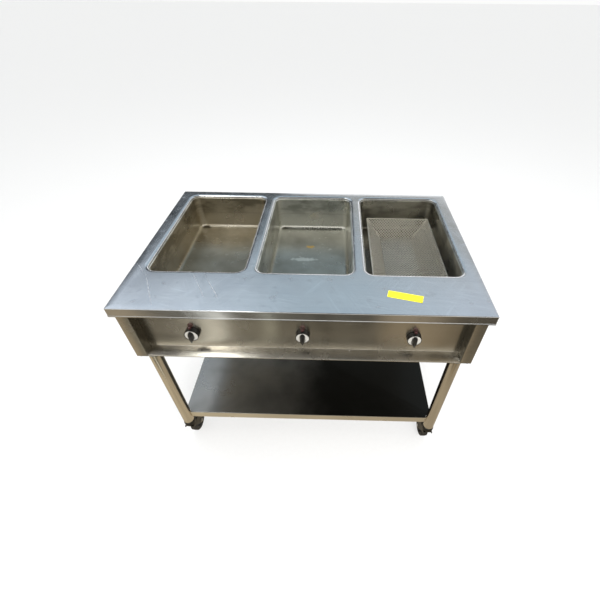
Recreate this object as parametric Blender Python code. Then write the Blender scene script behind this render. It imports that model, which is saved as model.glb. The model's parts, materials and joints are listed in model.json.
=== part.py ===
"""Three-well electric steam table on a tube stand with swivel casters.

Metres, +Z up.  The origin is on the floor under the centre of the worktop,
+X runs along the row of wells and -Y is the operator's side with the controls.
Every sub-part is its own object.  Moving pieces have their origin, or their
parent empty, on their joint's axis.
"""
import math

import bmesh
import bpy
from mathutils import Vector

# ---- driving dimensions --------------------------------------------------
TOP_WIDTH = 1.118
TOP_DEPTH = 0.748
TOP_HEIGHT = 0.796
SHEET = 0.0015
GAP = 0.0003

FASCIA_HEIGHT = 0.033
TOP_CORNER_RADIUS = 0.004
TOP_EDGE_RADIUS = 0.003

WELL_COUNT = 3
WELL_PITCH = 0.353
WELL_WIDTH = 0.3085
WELL_LENGTH = 0.515
WELL_DEPTH = 0.140
WELL_CORNER_RADIUS = 0.028
WELL_TAPER = 0.004
WELL_COVE = 0.015
WELL_SHEET = 0.0012
WELL_CENTRE_Y = 0.072
CUTOUT_MARGIN = 0.0047
CUTOUT_EDGE_RADIUS = 0.0035
CUTOUT_LIP_DROP = 0.0072
LINER_FLANGE = 0.0125
LINER_LIP_RADIUS = 0.0025

BODY_HEIGHT = 0.210
BODY_SIDE_INSET = 0.020
BODY_FRONT_INSET = 0.0018
BODY_BACK_INSET = 0.012
POST_WIDTH = 0.037
RECESS_DEPTH = 0.037
REAR_FLANGE = 0.025
LEDGE_RISE = 0.0105
LEDGE_LIP = 0.0035
PANEL_TOP_FLANGE = 0.015
PANEL_BOTTOM_FLANGE = 0.050

KNOB_PITCH = 0.347
KNOB_DROP = 0.130
KNOB_RADIUS = 0.0228
KNOB_SKIRT_HEIGHT = 0.0175
KNOB_GRIP_HEIGHT = 0.0285
KNOB_FACE_DROP = 0.0008
PILOT_RISE = 0.0315
PILOT_PROUD = 0.0165
SHAFT_RADIUS = 0.003

ELEMENT_RADIUS = 0.004
ELEMENT_BEND = 0.030
ELEMENT_REACH = 0.170
ELEMENT_DROP = 0.016
TRAY_SIZE = (0.262, 0.440)
TRAY_DROP = 0.0095
TRAY_WALL = 0.001
TRAY_FLANGE = 0.010
JACKET_CLEARANCE = 0.003
JACKET_THICKNESS = 0.012
GLAND_PLACE = (0.395, 0.315)
GLAND_HOLE = 0.0105
TERMINAL_PLACE = (0.455, 0.315)
LOOM_RADIUS = 0.004

LEG_RADIUS = 0.0205
LEG_WALL = 0.0015
LEG_INSET = 0.036
LEG_END = 0.128
SHELF_TOP = 0.182
SHELF_EDGE = 0.033

WHEEL_RADIUS = 0.044
WHEEL_HALF_WIDTH = 0.014
CASTER_TRAIL = 0.043
FORK_PLATE = 0.0025
FORK_INNER = 0.016
FORK_BOSS = 0.012
BRIDGE_THICKNESS = 0.0065
BRIDGE_CLEARANCE = 0.006
HEAD_RADIUS = 0.0225
HEAD_GAP = 0.0035
AXLE_RADIUS = 0.006
AXLE_HEAD = 0.0092
KINGPIN_RADIUS = 0.006
STEM_LENGTH = 0.055

BASKET_CENTRE = (0.357, 0.076)
BASKET_RIM = (0.262, 0.410)
BASKET_BASE = (0.132, 0.332)
BASKET_HEIGHT = 0.080
BASKET_WALL = 0.0015

# ---- places worked out from them -----------------------------------------
TOP_UNDERSIDE = TOP_HEIGHT - SHEET
BODY_BOTTOM = TOP_HEIGHT - BODY_HEIGHT
BODY_SIDE = TOP_WIDTH / 2 - BODY_SIDE_INSET
BODY_FRONT = -TOP_DEPTH / 2 + BODY_FRONT_INSET
BODY_BACK = TOP_DEPTH / 2 - BODY_BACK_INSET
PANEL_FACE = BODY_FRONT + RECESS_DEPTH
PANEL_BACK = PANEL_FACE + SHEET
RECESS_SIDE = BODY_SIDE - POST_WIDTH
WELL_FLOOR = TOP_HEIGHT - WELL_DEPTH
WELL_UNDERSIDE = WELL_FLOOR - WELL_SHEET
KNOB_HEIGHT = TOP_HEIGHT - KNOB_DROP
LEG_X = BODY_SIDE - LEG_INSET
LEG_FRONT_Y = BODY_FRONT + LEG_INSET
LEG_BACK_Y = BODY_BACK - LEG_INSET
PAN_FLOOR = BODY_BOTTOM + SHEET + 0.0005
ELEMENT_HEIGHT = WELL_UNDERSIDE - ELEMENT_DROP
TRAY_TOP = WELL_UNDERSIDE - TRAY_DROP
TRAY_FLOOR = PAN_FLOOR + SHEET + 0.006
BRIDGE_BOTTOM = 2 * WHEEL_RADIUS + BRIDGE_CLEARANCE
BRIDGE_TOP = BRIDGE_BOTTOM + BRIDGE_THICKNESS
HEAD_TOP = LEG_END - HEAD_GAP
PLATE_OUTER = FORK_INNER + FORK_PLATE

WELL_NAMES = ("left", "centre", "right")
LEG_PLACES = {
    "front_left": (-LEG_X, LEG_FRONT_Y, -4.0),
    "front_right": (LEG_X, LEG_FRONT_Y, 3.0),
    "rear_left": (-LEG_X, LEG_BACK_Y, -158.0),
    "rear_right": (LEG_X, LEG_BACK_Y, 166.0),
}
ROUND = 24


# ---- materials -----------------------------------------------------------
def make_material(name, colour, metallic, roughness):
    material = bpy.data.materials.new(name)
    material.use_nodes = True
    shader = material.node_tree.nodes["Principled BSDF"]
    shader.inputs["Base Color"].default_value = (*colour, 1.0)
    shader.inputs["Metallic"].default_value = metallic
    shader.inputs["Roughness"].default_value = roughness
    material.diffuse_color = (*colour, 1.0)
    return material


def make_materials():
    """One material for each finish the unit is built from."""
    return {
        "worktop_steel": make_material("worktop_steel", (0.66, 0.69, 0.73), 1.0, 0.30),
        "body_steel": make_material("body_steel", (0.56, 0.52, 0.46), 1.0, 0.34),
        "liner_steel": make_material("liner_steel", (0.60, 0.58, 0.54), 1.0, 0.28),
        "galvanised": make_material("galvanised", (0.58, 0.60, 0.61), 1.0, 0.50),
        "insulation": make_material("insulation", (0.72, 0.68, 0.55), 0.0, 0.95),
        "element": make_material("element", (0.20, 0.18, 0.17), 0.8, 0.55),
        "control_plastic": make_material("control_plastic", (0.03, 0.03, 0.03), 0.0, 0.45),
        "knob_plastic": make_material("knob_plastic", (0.02, 0.02, 0.02), 0.0, 0.35),
        "shaft_brass": make_material("shaft_brass", (0.70, 0.55, 0.28), 1.0, 0.35),
        "pilot_lens": make_material("pilot_lens", (0.30, 0.01, 0.02), 0.0, 0.20),
        "gland_nylon": make_material("gland_nylon", (0.05, 0.05, 0.05), 0.0, 0.55),
        "loom_sleeve": make_material("loom_sleeve", (0.06, 0.05, 0.05), 0.0, 0.75),
        "leg_steel": make_material("leg_steel", (0.60, 0.55, 0.47), 1.0, 0.30),
        "caster_zinc": make_material("caster_zinc", (0.55, 0.55, 0.54), 1.0, 0.38),
        "stem_insert": make_material("stem_insert", (0.04, 0.04, 0.04), 0.0, 0.60),
        "wheel_rubber": make_material("wheel_rubber", (0.03, 0.03, 0.03), 0.0, 0.75),
        "axle_zinc": make_material("axle_zinc", (0.62, 0.62, 0.60), 1.0, 0.35),
        "basket_steel": make_material("basket_steel", (0.62, 0.60, 0.55), 1.0, 0.30),
    }


# ---- outlines ------------------------------------------------------------
def rounded_rectangle(width, depth, radius, steps=5, centre=(0.0, 0.0)):
    """Corner arcs of a rectangle, counter-clockwise, steps + 1 points each."""
    points = []
    for corner, (sx, sy) in enumerate(((1, 1), (-1, 1), (-1, -1), (1, -1))):
        arc_x = centre[0] + sx * (width / 2 - radius)
        arc_y = centre[1] + sy * (depth / 2 - radius)
        for step in range(steps + 1):
            angle = math.radians(90) * (corner + step / steps)
            points.append((arc_x + radius * math.cos(angle), arc_y + radius * math.sin(angle)))
    return points


def arc(centre, radius, start, end, steps):
    """Points of an arc, angles in degrees, both ends included."""
    points = []
    for step in range(steps + 1):
        angle = math.radians(start + (end - start) * step / steps)
        points.append((centre[0] + radius * math.cos(angle), centre[1] + radius * math.sin(angle)))
    return points


def sheet_outline(path, thickness=SHEET):
    """Closed outline of sheet metal bent along path, with its thickness on the path's left."""
    inner = []
    for index, point in enumerate(path):
        normals = []
        for first, second in ((index - 1, index), (index, index + 1)):
            if first >= 0 and second < len(path):
                run = Vector(path[second]) - Vector(path[first])
                run.normalize()
                normals.append(Vector((-run.y, run.x)))
        middle = sum(normals, Vector((0.0, 0.0))).normalized()
        reach = thickness / max(0.2, middle.dot(normals[0]))
        inner.append(tuple(Vector(point) + middle * reach))
    return list(path) + inner[::-1]


# ---- meshes --------------------------------------------------------------
def finish_mesh(form, name, smooth_angle=35):
    """Turn a bmesh into a mesh with outward faces and sharp creases."""
    bmesh.ops.recalc_face_normals(form, faces=form.faces)
    mesh = bpy.data.meshes.new(name)
    form.to_mesh(mesh)
    form.free()
    mesh.shade_smooth()
    mesh.set_sharp_from_angle(angle=math.radians(smooth_angle))
    return mesh


def loft(name, rings, closed=False):
    """Skin a run of equal-length rings; capped at both ends, or closed into a loop."""
    form = bmesh.new()
    rows = [[form.verts.new(point) for point in ring] for ring in rings]
    pairs = list(zip(rows, rows[1:]))
    if closed:
        pairs.append((rows[-1], rows[0]))
    else:
        form.faces.new(rows[0])
        form.faces.new(rows[-1])
    for lower, upper in pairs:
        count = len(lower)
        for index in range(count):
            after = (index + 1) % count
            form.faces.new((lower[index], lower[after], upper[after], upper[index]))
    return finish_mesh(form, name)


def flat_rings(outlines):
    """Rings from (outline, height) pairs."""
    return [[(x, y, height) for x, y in outline] for outline, height in outlines]


def lathe(name, profile, axis="Z", segments=ROUND):
    """Turn (radius, distance along axis) points; a loop clear of the axis gives a ring."""
    form = bmesh.new()
    rows = []
    for radius, along in profile:
        count = segments if radius > 0 else 1
        row = []
        for index in range(count):
            angle = 2 * math.pi * index / segments
            across = (radius * math.cos(angle), radius * math.sin(angle))
            if axis == "X":
                row.append(form.verts.new((along, *across)))
            else:
                row.append(form.verts.new((*across, along)))
        rows.append(row)
    pairs = list(zip(rows, rows[1:]))
    if profile[0][0] > 0:
        pairs.append((rows[-1], rows[0]))
    for first, second in pairs:
        for index in range(segments):
            after = (index + 1) % segments
            corners = [first[index % len(first)], first[after % len(first)]]
            corners += [second[after % len(second)], second[index % len(second)]]
            form.faces.new(dict.fromkeys(corners))
    return finish_mesh(form, name)


def prism(name, outline, start, end, axis="Z"):
    """Extrude an outline: (x, y) along Z, (y, z) along X, or (x, z) along Y."""
    rings = []
    for along in (start, end):
        if axis == "Z":
            rings.append([(u, v, along) for u, v in outline])
        elif axis == "X":
            rings.append([(along, u, v) for u, v in outline])
        else:
            rings.append([(u, along, v) for u, v in outline])
    return loft(name, rings)


def block(name, low, high):
    outline = [(low[0], low[1]), (high[0], low[1]), (high[0], high[1]), (low[0], high[1])]
    return prism(name, outline, low[2], high[2])


def tube(name, path, radius, sides=8):
    """Round tube along a smooth path, capped at both ends."""
    points = [Vector(point) for point in path]
    rings = []
    side = None
    for index, point in enumerate(points):
        before = points[max(0, index - 1)]
        after = points[min(len(points) - 1, index + 1)]
        heading = (after - before).normalized()
        if side is None:
            side = heading.orthogonal().normalized()
        side = (side - heading * side.dot(heading)).normalized()
        other = heading.cross(side)
        ring = []
        for step in range(sides):
            angle = 2 * math.pi * step / sides
            ring.append(point + radius * (math.cos(angle) * side + math.sin(angle) * other))
        rings.append(ring)
    return loft(name, rings)


# ---- placing and joining -------------------------------------------------
def place(name, mesh, material, location=(0, 0, 0), rotation=(0, 0, 0), parent=None):
    """Add one sub-part to the scene; rotation is in degrees."""
    piece = bpy.data.objects.new(name, mesh)
    piece.location = location
    piece.rotation_euler = [math.radians(angle) for angle in rotation]
    piece.parent = parent
    if material:
        mesh.materials.clear()
        mesh.materials.append(material)
    bpy.context.scene.collection.objects.link(piece)
    return piece


def combine(mesh, others, operation):
    """Boolean of a mesh with each of the others in turn; gives the new mesh."""
    target = place("work", mesh, None)
    for other in others:
        tool = place("tool", other, None)
        modifier = target.modifiers.new("boolean", "BOOLEAN")
        modifier.operation = operation
        modifier.solver = "EXACT"
        modifier.object = tool
        graph = bpy.context.evaluated_depsgraph_get()
        result = bpy.data.meshes.new_from_object(target.evaluated_get(graph))
        target.modifiers.clear()
        target.data = result
        bpy.data.objects.remove(tool)
    result = target.data
    bpy.data.objects.remove(target)
    result.shade_smooth()
    result.set_sharp_from_angle(angle=math.radians(35))
    return result


def fuse(mesh, *others):
    return combine(mesh, others, "UNION")


def cut(mesh, *others):
    return combine(mesh, others, "DIFFERENCE")


def well_outline(offset, centre_x=0.0, steps=4):
    """The well's plan outline grown by offset all round."""
    width = WELL_WIDTH + 2 * offset
    length = WELL_LENGTH + 2 * offset
    return rounded_rectangle(width, length, WELL_CORNER_RADIUS + offset, steps, (centre_x, WELL_CENTRE_Y))


def well_centres():
    for index, name in enumerate(WELL_NAMES):
        yield name, (index - (WELL_COUNT - 1) / 2) * WELL_PITCH


def knob_places():
    for index, name in enumerate(WELL_NAMES):
        yield name, (index - (WELL_COUNT - 1) / 2) * KNOB_PITCH


# ---- worktop and cabinet -------------------------------------------------
def make_worktop():
    """Folded top with a turned-down fascia and a turned-down lip round each cut-out."""
    fascia_bottom = TOP_HEIGHT - FASCIA_HEIGHT
    outlines = []
    for inset, drop in [(0.0, FASCIA_HEIGHT)] + [
        (TOP_EDGE_RADIUS - x, TOP_EDGE_RADIUS - y) for x, y in arc((0, 0), TOP_EDGE_RADIUS, 0, 90, 2)
    ]:
        size = (TOP_WIDTH - 2 * inset, TOP_DEPTH - 2 * inset)
        outlines.append((rounded_rectangle(*size, TOP_CORNER_RADIUS, 3), TOP_HEIGHT - drop))
    top = loft("worktop", flat_rings(outlines))
    hollow = block(
        "hollow",
        (-TOP_WIDTH / 2 + SHEET, -TOP_DEPTH / 2 + SHEET, fascia_bottom - 0.02),
        (TOP_WIDTH / 2 - SHEET, TOP_DEPTH / 2 - SHEET, TOP_UNDERSIDE),
    )
    top = cut(top, hollow)
    for _, centre_x in well_centres():
        collar = prism(
            "collar",
            well_outline(CUTOUT_MARGIN + SHEET, centre_x),
            TOP_HEIGHT - CUTOUT_LIP_DROP,
            TOP_HEIGHT - SHEET / 2,
        )
        outlines = [(well_outline(CUTOUT_MARGIN, centre_x), TOP_HEIGHT - 2 * CUTOUT_LIP_DROP)]
        radius = CUTOUT_EDGE_RADIUS
        for x, y in arc((radius, -radius), radius, 180, 90, 3):
            outlines.append((well_outline(CUTOUT_MARGIN + x, centre_x), TOP_HEIGHT + y))
        outlines.append((well_outline(CUTOUT_MARGIN + radius, centre_x), TOP_HEIGHT + 0.01))
        top = cut(fuse(top, collar), loft("cutter", flat_rings(outlines)))
    return top


def make_side_panel(side):
    """Side sheet with its front post folded round to the control recess, and a bottom flange."""
    path = [
        (RECESS_SIDE, PANEL_FACE - 0.0005),
        (RECESS_SIDE, BODY_FRONT),
        (BODY_SIDE, BODY_FRONT),
        (BODY_SIDE, BODY_BACK),
        (BODY_SIDE - REAR_FLANGE, BODY_BACK),
    ]
    outline = [(side * x, y) for x, y in sheet_outline(path)]
    panel = prism("side_panel", outline, BODY_BOTTOM, TOP_UNDERSIDE - GAP)
    inner, outer = sorted((side * (RECESS_SIDE + SHEET / 2), side * (BODY_SIDE - SHEET / 2)))
    flange = block(
        "flange",
        (inner, BODY_FRONT + SHEET / 2, BODY_BOTTOM),
        (outer, BODY_BACK - SHEET / 2, BODY_BOTTOM + SHEET),
    )
    return fuse(panel, flange)


def make_control_panel():
    """Recessed control face with its top flange, sloping ledge and bottom flange in one sheet."""
    top = TOP_UNDERSIDE - GAP
    path = [
        (PANEL_FACE + PANEL_TOP_FLANGE, top),
        (PANEL_FACE, top),
        (PANEL_FACE, BODY_BOTTOM + LEDGE_LIP + LEDGE_RISE),
        (BODY_FRONT, BODY_BOTTOM + LEDGE_LIP),
        (BODY_FRONT, BODY_BOTTOM),
        (BODY_FRONT + PANEL_BOTTOM_FLANGE, BODY_BOTTOM),
    ]
    half = RECESS_SIDE - GAP
    panel = prism("control_panel", sheet_outline(path), -half, half, "X")
    holes = []
    for _, x in knob_places():
        for height, radius in ((KNOB_HEIGHT, 0.0055), (KNOB_HEIGHT + PILOT_RISE, 0.0062)):
            hole = [(x + u, height + v) for u, v in arc((0, 0), radius, 0, 337.5, 15)]
            holes.append(prism("hole", hole, PANEL_FACE - 0.005, PANEL_BACK + 0.005, "Y"))
    return cut(panel, *holes)


def make_back_panel():
    """Flat back sheet inside the rear flanges, with two rows of vent slots."""
    y = BODY_BACK - SHEET - 0.0005
    half = BODY_SIDE - SHEET - 0.004
    panel = block("back_panel", (-half, y - SHEET, PAN_FLOOR + 0.013), (half, y, TOP_UNDERSIDE - 0.002))
    slots = []
    for column in range(6):
        for row in range(2):
            centre = (-0.40 + 0.16 * column, BODY_BOTTOM + 0.045 + 0.022 * row)
            slot = rounded_rectangle(0.070, 0.006, 0.0029, 1, centre)
            slots.append(prism("slot", slot, y - 0.01, y + 0.01, "Y"))
    return cut(panel, *slots)


def make_bottom_pan():
    """Shallow pan that closes the cabinet, with an upturned edge and the cord hole."""
    front = PANEL_FACE + 0.010
    back = BODY_BACK - SHEET - 0.003
    half = BODY_SIDE - SHEET - 0.004
    size = (2 * half, back - front)
    centre = (0.0, (front + back) / 2)
    rim = PAN_FLOOR + 0.012
    outlines = []
    for inset, height in ((0.0, PAN_FLOOR), (0.0, rim), (SHEET, rim), (SHEET, PAN_FLOOR + SHEET)):
        outline = rounded_rectangle(size[0] - 2 * inset, size[1] - 2 * inset, 0.004, 2, centre)
        outlines.append((outline, height))
    pan = loft("bottom_pan", flat_rings(outlines))
    hole = [(GLAND_PLACE[0] + u, GLAND_PLACE[1] + v) for u, v in arc((0, 0), GLAND_HOLE, 0, 337.5, 15)]
    return cut(pan, prism("hole", hole, PAN_FLOOR - 0.01, PAN_FLOOR + 0.005))


# ---- wells and heat ------------------------------------------------------
def liner_profile(thickness):
    """(offset, height) from the flange edge, over the lip, down the wall to the floor."""
    rim = TOP_HEIGHT - CUTOUT_LIP_DROP - GAP
    lip = arc((LINER_LIP_RADIUS, rim - LINER_LIP_RADIUS), LINER_LIP_RADIUS - thickness, 90, 180, 2)
    cove_centre = (-WELL_TAPER - WELL_COVE, WELL_FLOOR + WELL_COVE)
    cove = arc(cove_centre, WELL_COVE + thickness, 0, -90, 3)
    return [(LINER_FLANGE, rim - thickness)] + lip + cove


def make_well_liner(centre_x):
    """Deep-drawn pan: outside surface up to the flange edge, then inside surface down."""
    profile = liner_profile(WELL_SHEET)[::-1] + liner_profile(0.0)
    return loft("well_liner", flat_rings([(well_outline(o, centre_x), z) for o, z in profile]))


def make_well_jacket(centre_x):
    """Band of insulation round the well's four sides."""
    inner = WELL_SHEET + JACKET_CLEARANCE
    outer = inner + JACKET_THICKNESS
    top = TOP_HEIGHT - CUTOUT_LIP_DROP - WELL_SHEET - 0.002
    bottom = WELL_UNDERSIDE - 0.009
    corners = ((outer, bottom), (outer, top), (inner, top), (inner, bottom))
    rings = flat_rings([(well_outline(o, centre_x, 3), z) for o, z in corners])
    return loft("well_jacket", rings, closed=True)


def make_heating_element(centre_x):
    """Tubular element: four runs joined by three bends, both cold ends out at the front."""
    cold_end = WELL_CENTRE_Y - TRAY_SIZE[1] / 2 - 0.022
    far = WELL_CENTRE_Y + ELEMENT_REACH
    near = WELL_CENTRE_Y - ELEMENT_REACH
    runs = [centre_x + ELEMENT_BEND * step for step in (-3, -1, 1, 3)]
    path = [(runs[0], cold_end)]
    path += arc((runs[0] + ELEMENT_BEND, far), ELEMENT_BEND, 180, 0, 6)
    path += arc((runs[1] + ELEMENT_BEND, near), ELEMENT_BEND, 180, 360, 6)
    path += arc((runs[2] + ELEMENT_BEND, far), ELEMENT_BEND, 180, 0, 6)
    path.append((runs[3], cold_end))
    return tube("heating_element", [(x, y, ELEMENT_HEIGHT) for x, y in path], ELEMENT_RADIUS)


def make_element_tray(centre_x):
    """Reflector tray under the well, with holes for the element's cold ends."""
    centre = (centre_x, WELL_CENTRE_Y)
    steps = (
        (0.0, TRAY_FLOOR),
        (0.0, TRAY_TOP - TRAY_WALL),
        (TRAY_FLANGE, TRAY_TOP - TRAY_WALL),
        (TRAY_FLANGE, TRAY_TOP),
        (-TRAY_WALL, TRAY_TOP),
        (-TRAY_WALL, TRAY_FLOOR + TRAY_WALL),
    )
    outlines = []
    for offset, height in steps:
        size = (TRAY_SIZE[0] + 2 * offset, TRAY_SIZE[1] + 2 * offset)
        outlines.append((rounded_rectangle(*size, 0.020 + offset, 2, centre), height))
    tray = loft("element_tray", flat_rings(outlines))
    front = WELL_CENTRE_Y - TRAY_SIZE[1] / 2
    for step in (-3, 3):
        middle = (centre_x + ELEMENT_BEND * step, ELEMENT_HEIGHT)
        hole = arc(middle, ELEMENT_RADIUS + 0.0012, 0, 330, 11)
        tray = cut(tray, prism("hole", hole, front - 0.01, front + 0.01, "Y"))
    return tray


# ---- controls ------------------------------------------------------------
def make_thermostat():
    """Control body behind the panel; local +Z points out of the panel, z = 0 is its face."""
    back = -SHEET - GAP
    body = prism("thermostat", rounded_rectangle(0.048, 0.048, 0.004, 2), back - 0.030, back)
    bushing = lathe("bushing", [(0, back - 0.01), (0.005, back - 0.01), (0.005, 0.0005), (0, 0.0005)])
    blades = []
    for x in (-0.014, 0.014):
        low = (x - 0.003, -0.004, back - 0.041)
        blades.append(block("blade", low, (x + 0.003, -0.003, back - 0.029)))
    bore_radius = SHAFT_RADIUS + 0.0004
    bore = lathe("bore", [(0, -0.02), (bore_radius, -0.02), (bore_radius, 0.02), (0, 0.02)])
    return cut(fuse(body, bushing, *blades), bore)


def make_control_shaft():
    """Round shaft from inside the control body into the knob."""
    inner_end, outer_end, chamfer = -0.018, 0.0096, 0.0006
    profile = [(0, inner_end), (SHAFT_RADIUS, inner_end), (SHAFT_RADIUS, outer_end - chamfer)]
    profile += [(SHAFT_RADIUS - chamfer, outer_end), (0, outer_end)]
    return lathe("control_shaft", profile, segments=16)


def make_knob():
    """Skirted knob with a pointed grip bar; the pointer is at local -Y."""
    foot = 0.0012
    rim = KNOB_SKIRT_HEIGHT
    profile = [
        (0, foot),
        (KNOB_RADIUS, foot),
        (KNOB_RADIUS, foot + 0.003),
        (KNOB_RADIUS - 0.0008, rim - 0.0012),
        (KNOB_RADIUS - 0.0018, rim),
        (KNOB_RADIUS - 0.0028, rim - KNOB_FACE_DROP),
        (0, rim - KNOB_FACE_DROP),
    ]
    skirt = lathe("knob", profile, segments=32)
    rings = []
    for height, width, shrink in ((rim - 0.004, 0.0115, 0.0), (KNOB_GRIP_HEIGHT, 0.0075, 0.0015)):
        tip = 0.0222 - shrink
        tail = 0.0175 - shrink
        half = width / 2
        outline = [(0, -tip), (half, -tip + 0.011), (half, tail - 0.008), (0.0015, tail)]
        outline += [(-x, y) for x, y in outline[:0:-1]]
        rings.append([(x, y, height) for x, y in outline])
    grip = loft("grip", rings)
    bore_radius = SHAFT_RADIUS + 0.0004
    bore = lathe("bore", [(0, -0.01), (bore_radius, -0.01), (bore_radius, 0.010), (0, 0.010)])
    return cut(fuse(skirt, grip), bore)


def make_pilot_light():
    """Domed lens in a bezel, snapped through the panel; z = 0 is the panel's face."""
    dome = 0.0050
    profile = [(0, PILOT_PROUD)]
    profile += arc((0, PILOT_PROUD - dome), dome, 60, 0, 2)
    profile += [(0.0056, 0.0035), (0.0080, 0.0028), (0.0086, GAP), (0.0056, GAP)]
    profile += [(0.0056, -0.0025), (0.0050, -0.0030), (0.0050, -0.022), (0, -0.022)]
    return lathe("pilot_light", profile, segments=16)


def make_terminal_block():
    """Barrier strip: low base with four fins, z = 0 on the pan."""
    width = 0.060
    outline = [(-width / 2, 0.0), (width / 2, 0.0)]
    fin = 0.003
    bay = (width - 4 * fin) / 3
    right = width / 2
    for index in range(4):
        outline += [(right, 0.022), (right - fin, 0.022)]
        if index < 3:
            outline += [(right - fin, 0.012), (right - fin - bay, 0.012)]
        right -= fin + bay
    return prism("terminal_block", outline, -0.012, 0.012, "Y")


def make_cord_gland():
    """Strain-relief bush through the bottom pan; z = 0 is the pan's underside, mouth down."""
    return lathe(
        "cord_gland",
        [(0.0065, -0.020), (0.0095, -0.020), (0.0125, -0.012), (0.0140, -0.009), (0.0140, -GAP),
         (0.0098, -GAP), (0.0098, SHEET + GAP), (0.0130, SHEET + GAP), (0.0130, SHEET + 0.006),
         (0.0065, SHEET + 0.006)],
        segments=16,
    )


def make_wire_loom():
    """Sleeved wiring from the terminal block round to below the controls."""
    height = BODY_BOTTOM + 0.022
    bend = 0.035
    right = RECESS_SIDE + 0.008
    front = PANEL_BACK + 0.060
    turn = 0.018
    path = [(TERMINAL_PLACE[0] + 0.031, TERMINAL_PLACE[1])]
    path += arc((right - turn, TERMINAL_PLACE[1] - turn), turn, 90, 0, 5)
    path += arc((right - bend, front + bend), bend, 0, -90, 6)
    path.append((-KNOB_PITCH - 0.03, front))
    return tube("wire_loom", [(x, y, height) for x, y in path], LOOM_RADIUS)


# ---- stand ---------------------------------------------------------------
def make_leg():
    """Round tube, z = 0 at its lower end."""
    length = BODY_BOTTOM - 0.0048 - LEG_END
    inner = LEG_RADIUS - LEG_WALL
    return lathe("leg", [(inner, 0), (LEG_RADIUS, 0), (LEG_RADIUS, length), (inner, length)])


def make_leg_gusset():
    """Bolting plate with a collar round the leg; z = 0 is the plate's top."""
    plate = prism("leg_gusset", rounded_rectangle(0.064, 0.064, 0.008, 3), -0.004, 0.0)
    inner = LEG_RADIUS + 0.0006
    outer = inner + 0.0025
    collar = lathe("collar", [(inner, -0.018), (outer, -0.018), (outer, -0.002), (inner, -0.002)])
    return fuse(plate, collar)


def make_undershelf():
    """Shelf with turned-down edges, notched round the four legs at its corners."""
    size = (2 * LEG_X, LEG_BACK_Y - LEG_FRONT_Y)
    centre = (0.0, (LEG_BACK_Y + LEG_FRONT_Y) / 2)
    edge = 0.002
    outlines = [(rounded_rectangle(*size, 0.0045, 2, centre), SHELF_TOP - SHELF_EDGE)]
    for x, y in arc((0, 0), edge, 0, 90, 2):
        inset = 2 * (edge - x)
        outline = rounded_rectangle(size[0] - inset, size[1] - inset, 0.0045, 2, centre)
        outlines.append((outline, SHELF_TOP - edge + y))
    shelf = loft("undershelf", flat_rings(outlines))
    low = (-size[0] / 2 + SHEET, LEG_FRONT_Y + SHEET, SHELF_TOP - SHELF_EDGE - 0.02)
    high = (size[0] / 2 - SHEET, LEG_BACK_Y - SHEET, SHELF_TOP - SHEET)
    notch_radius = LEG_RADIUS + 0.0006
    below, above = SHELF_TOP - SHELF_EDGE - 0.02, SHELF_TOP + 0.02
    notch = [(0, below), (notch_radius, below), (notch_radius, above), (0, above)]
    cutters = [block("hollow", low, high)]
    for x, y, _ in LEG_PLACES.values():
        cutter = lathe("notch", notch)
        for vertex in cutter.vertices:
            vertex.co += Vector((x, y, 0.0))
        cutters.append(cutter)
    return cut(shelf, *cutters)


# ---- casters: local frame on the swivel axis at floor level, trailing to +Y ----
def make_caster_stem():
    """Insert that fills the leg's end, with the kingpin below it."""
    insert = LEG_RADIUS - LEG_WALL - 0.0005
    shoulder = HEAD_TOP + 0.0008
    head = LEG_END + STEM_LENGTH
    foot = BRIDGE_BOTTOM + 0.001
    profile = [(0, head), (insert - 0.003, head), (insert, head - 0.005), (insert, shoulder)]
    profile += [(KINGPIN_RADIUS, shoulder), (KINGPIN_RADIUS, foot), (0, foot)]
    return lathe("caster_stem", profile)


def make_caster_fork():
    """Domed swivel head, bridge and two side plates that carry the axle."""
    foot = BRIDGE_TOP - 0.001
    profile = [(0, HEAD_TOP), (HEAD_RADIUS - 0.0055, HEAD_TOP), (HEAD_RADIUS - 0.0018, HEAD_TOP - 0.003)]
    profile += [(HEAD_RADIUS, HEAD_TOP - 0.008), (HEAD_RADIUS, HEAD_TOP - 0.015)]
    profile += [(HEAD_RADIUS - 0.0025, foot), (0, foot)]
    head = lathe("caster_fork", profile)
    front, back = -0.019, CASTER_TRAIL - 0.004
    bridge = block("bridge", (-PLATE_OUTER, front, BRIDGE_BOTTOM), (PLATE_OUTER, back, BRIDGE_TOP))
    boss = arc((CASTER_TRAIL, WHEEL_RADIUS), FORK_BOSS, 20, -150, 6)
    side = [(back, BRIDGE_TOP - 0.0005)] + boss + [(0.0, BRIDGE_BOTTOM - 0.018)]
    side += [(front, BRIDGE_BOTTOM - 0.006), (front, BRIDGE_TOP - 0.0005)]
    plates = []
    for low, high in ((-PLATE_OUTER, -FORK_INNER), (FORK_INNER, PLATE_OUTER)):
        plates.append(prism("plate", side, low, high, "X"))
    kingpin_bore = KINGPIN_RADIUS + 0.0006
    below, above = BRIDGE_BOTTOM - 0.01, HEAD_TOP + 0.01
    bore = lathe("bore", [(0, below), (kingpin_bore, below), (kingpin_bore, above), (0, above)])
    hole = arc((CASTER_TRAIL, WHEEL_RADIUS), AXLE_RADIUS + 0.0007, 0, 337.5, 15)
    axle_hole = prism("hole", hole, -0.04, 0.04, "X")
    return cut(fuse(head, bridge, *plates), bore, axle_hole)


def make_caster_axle():
    """Bolt across the fork with a head at each end; origin on its own axis."""
    inside = PLATE_OUTER + GAP
    outside = inside + 0.0040
    profile = [(0, -outside), (AXLE_HEAD, -outside), (AXLE_HEAD, -inside), (AXLE_RADIUS, -inside)]
    profile += [(radius, -along) for radius, along in profile[::-1]]
    return lathe("caster_axle", profile, axis="X", segments=16)


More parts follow.
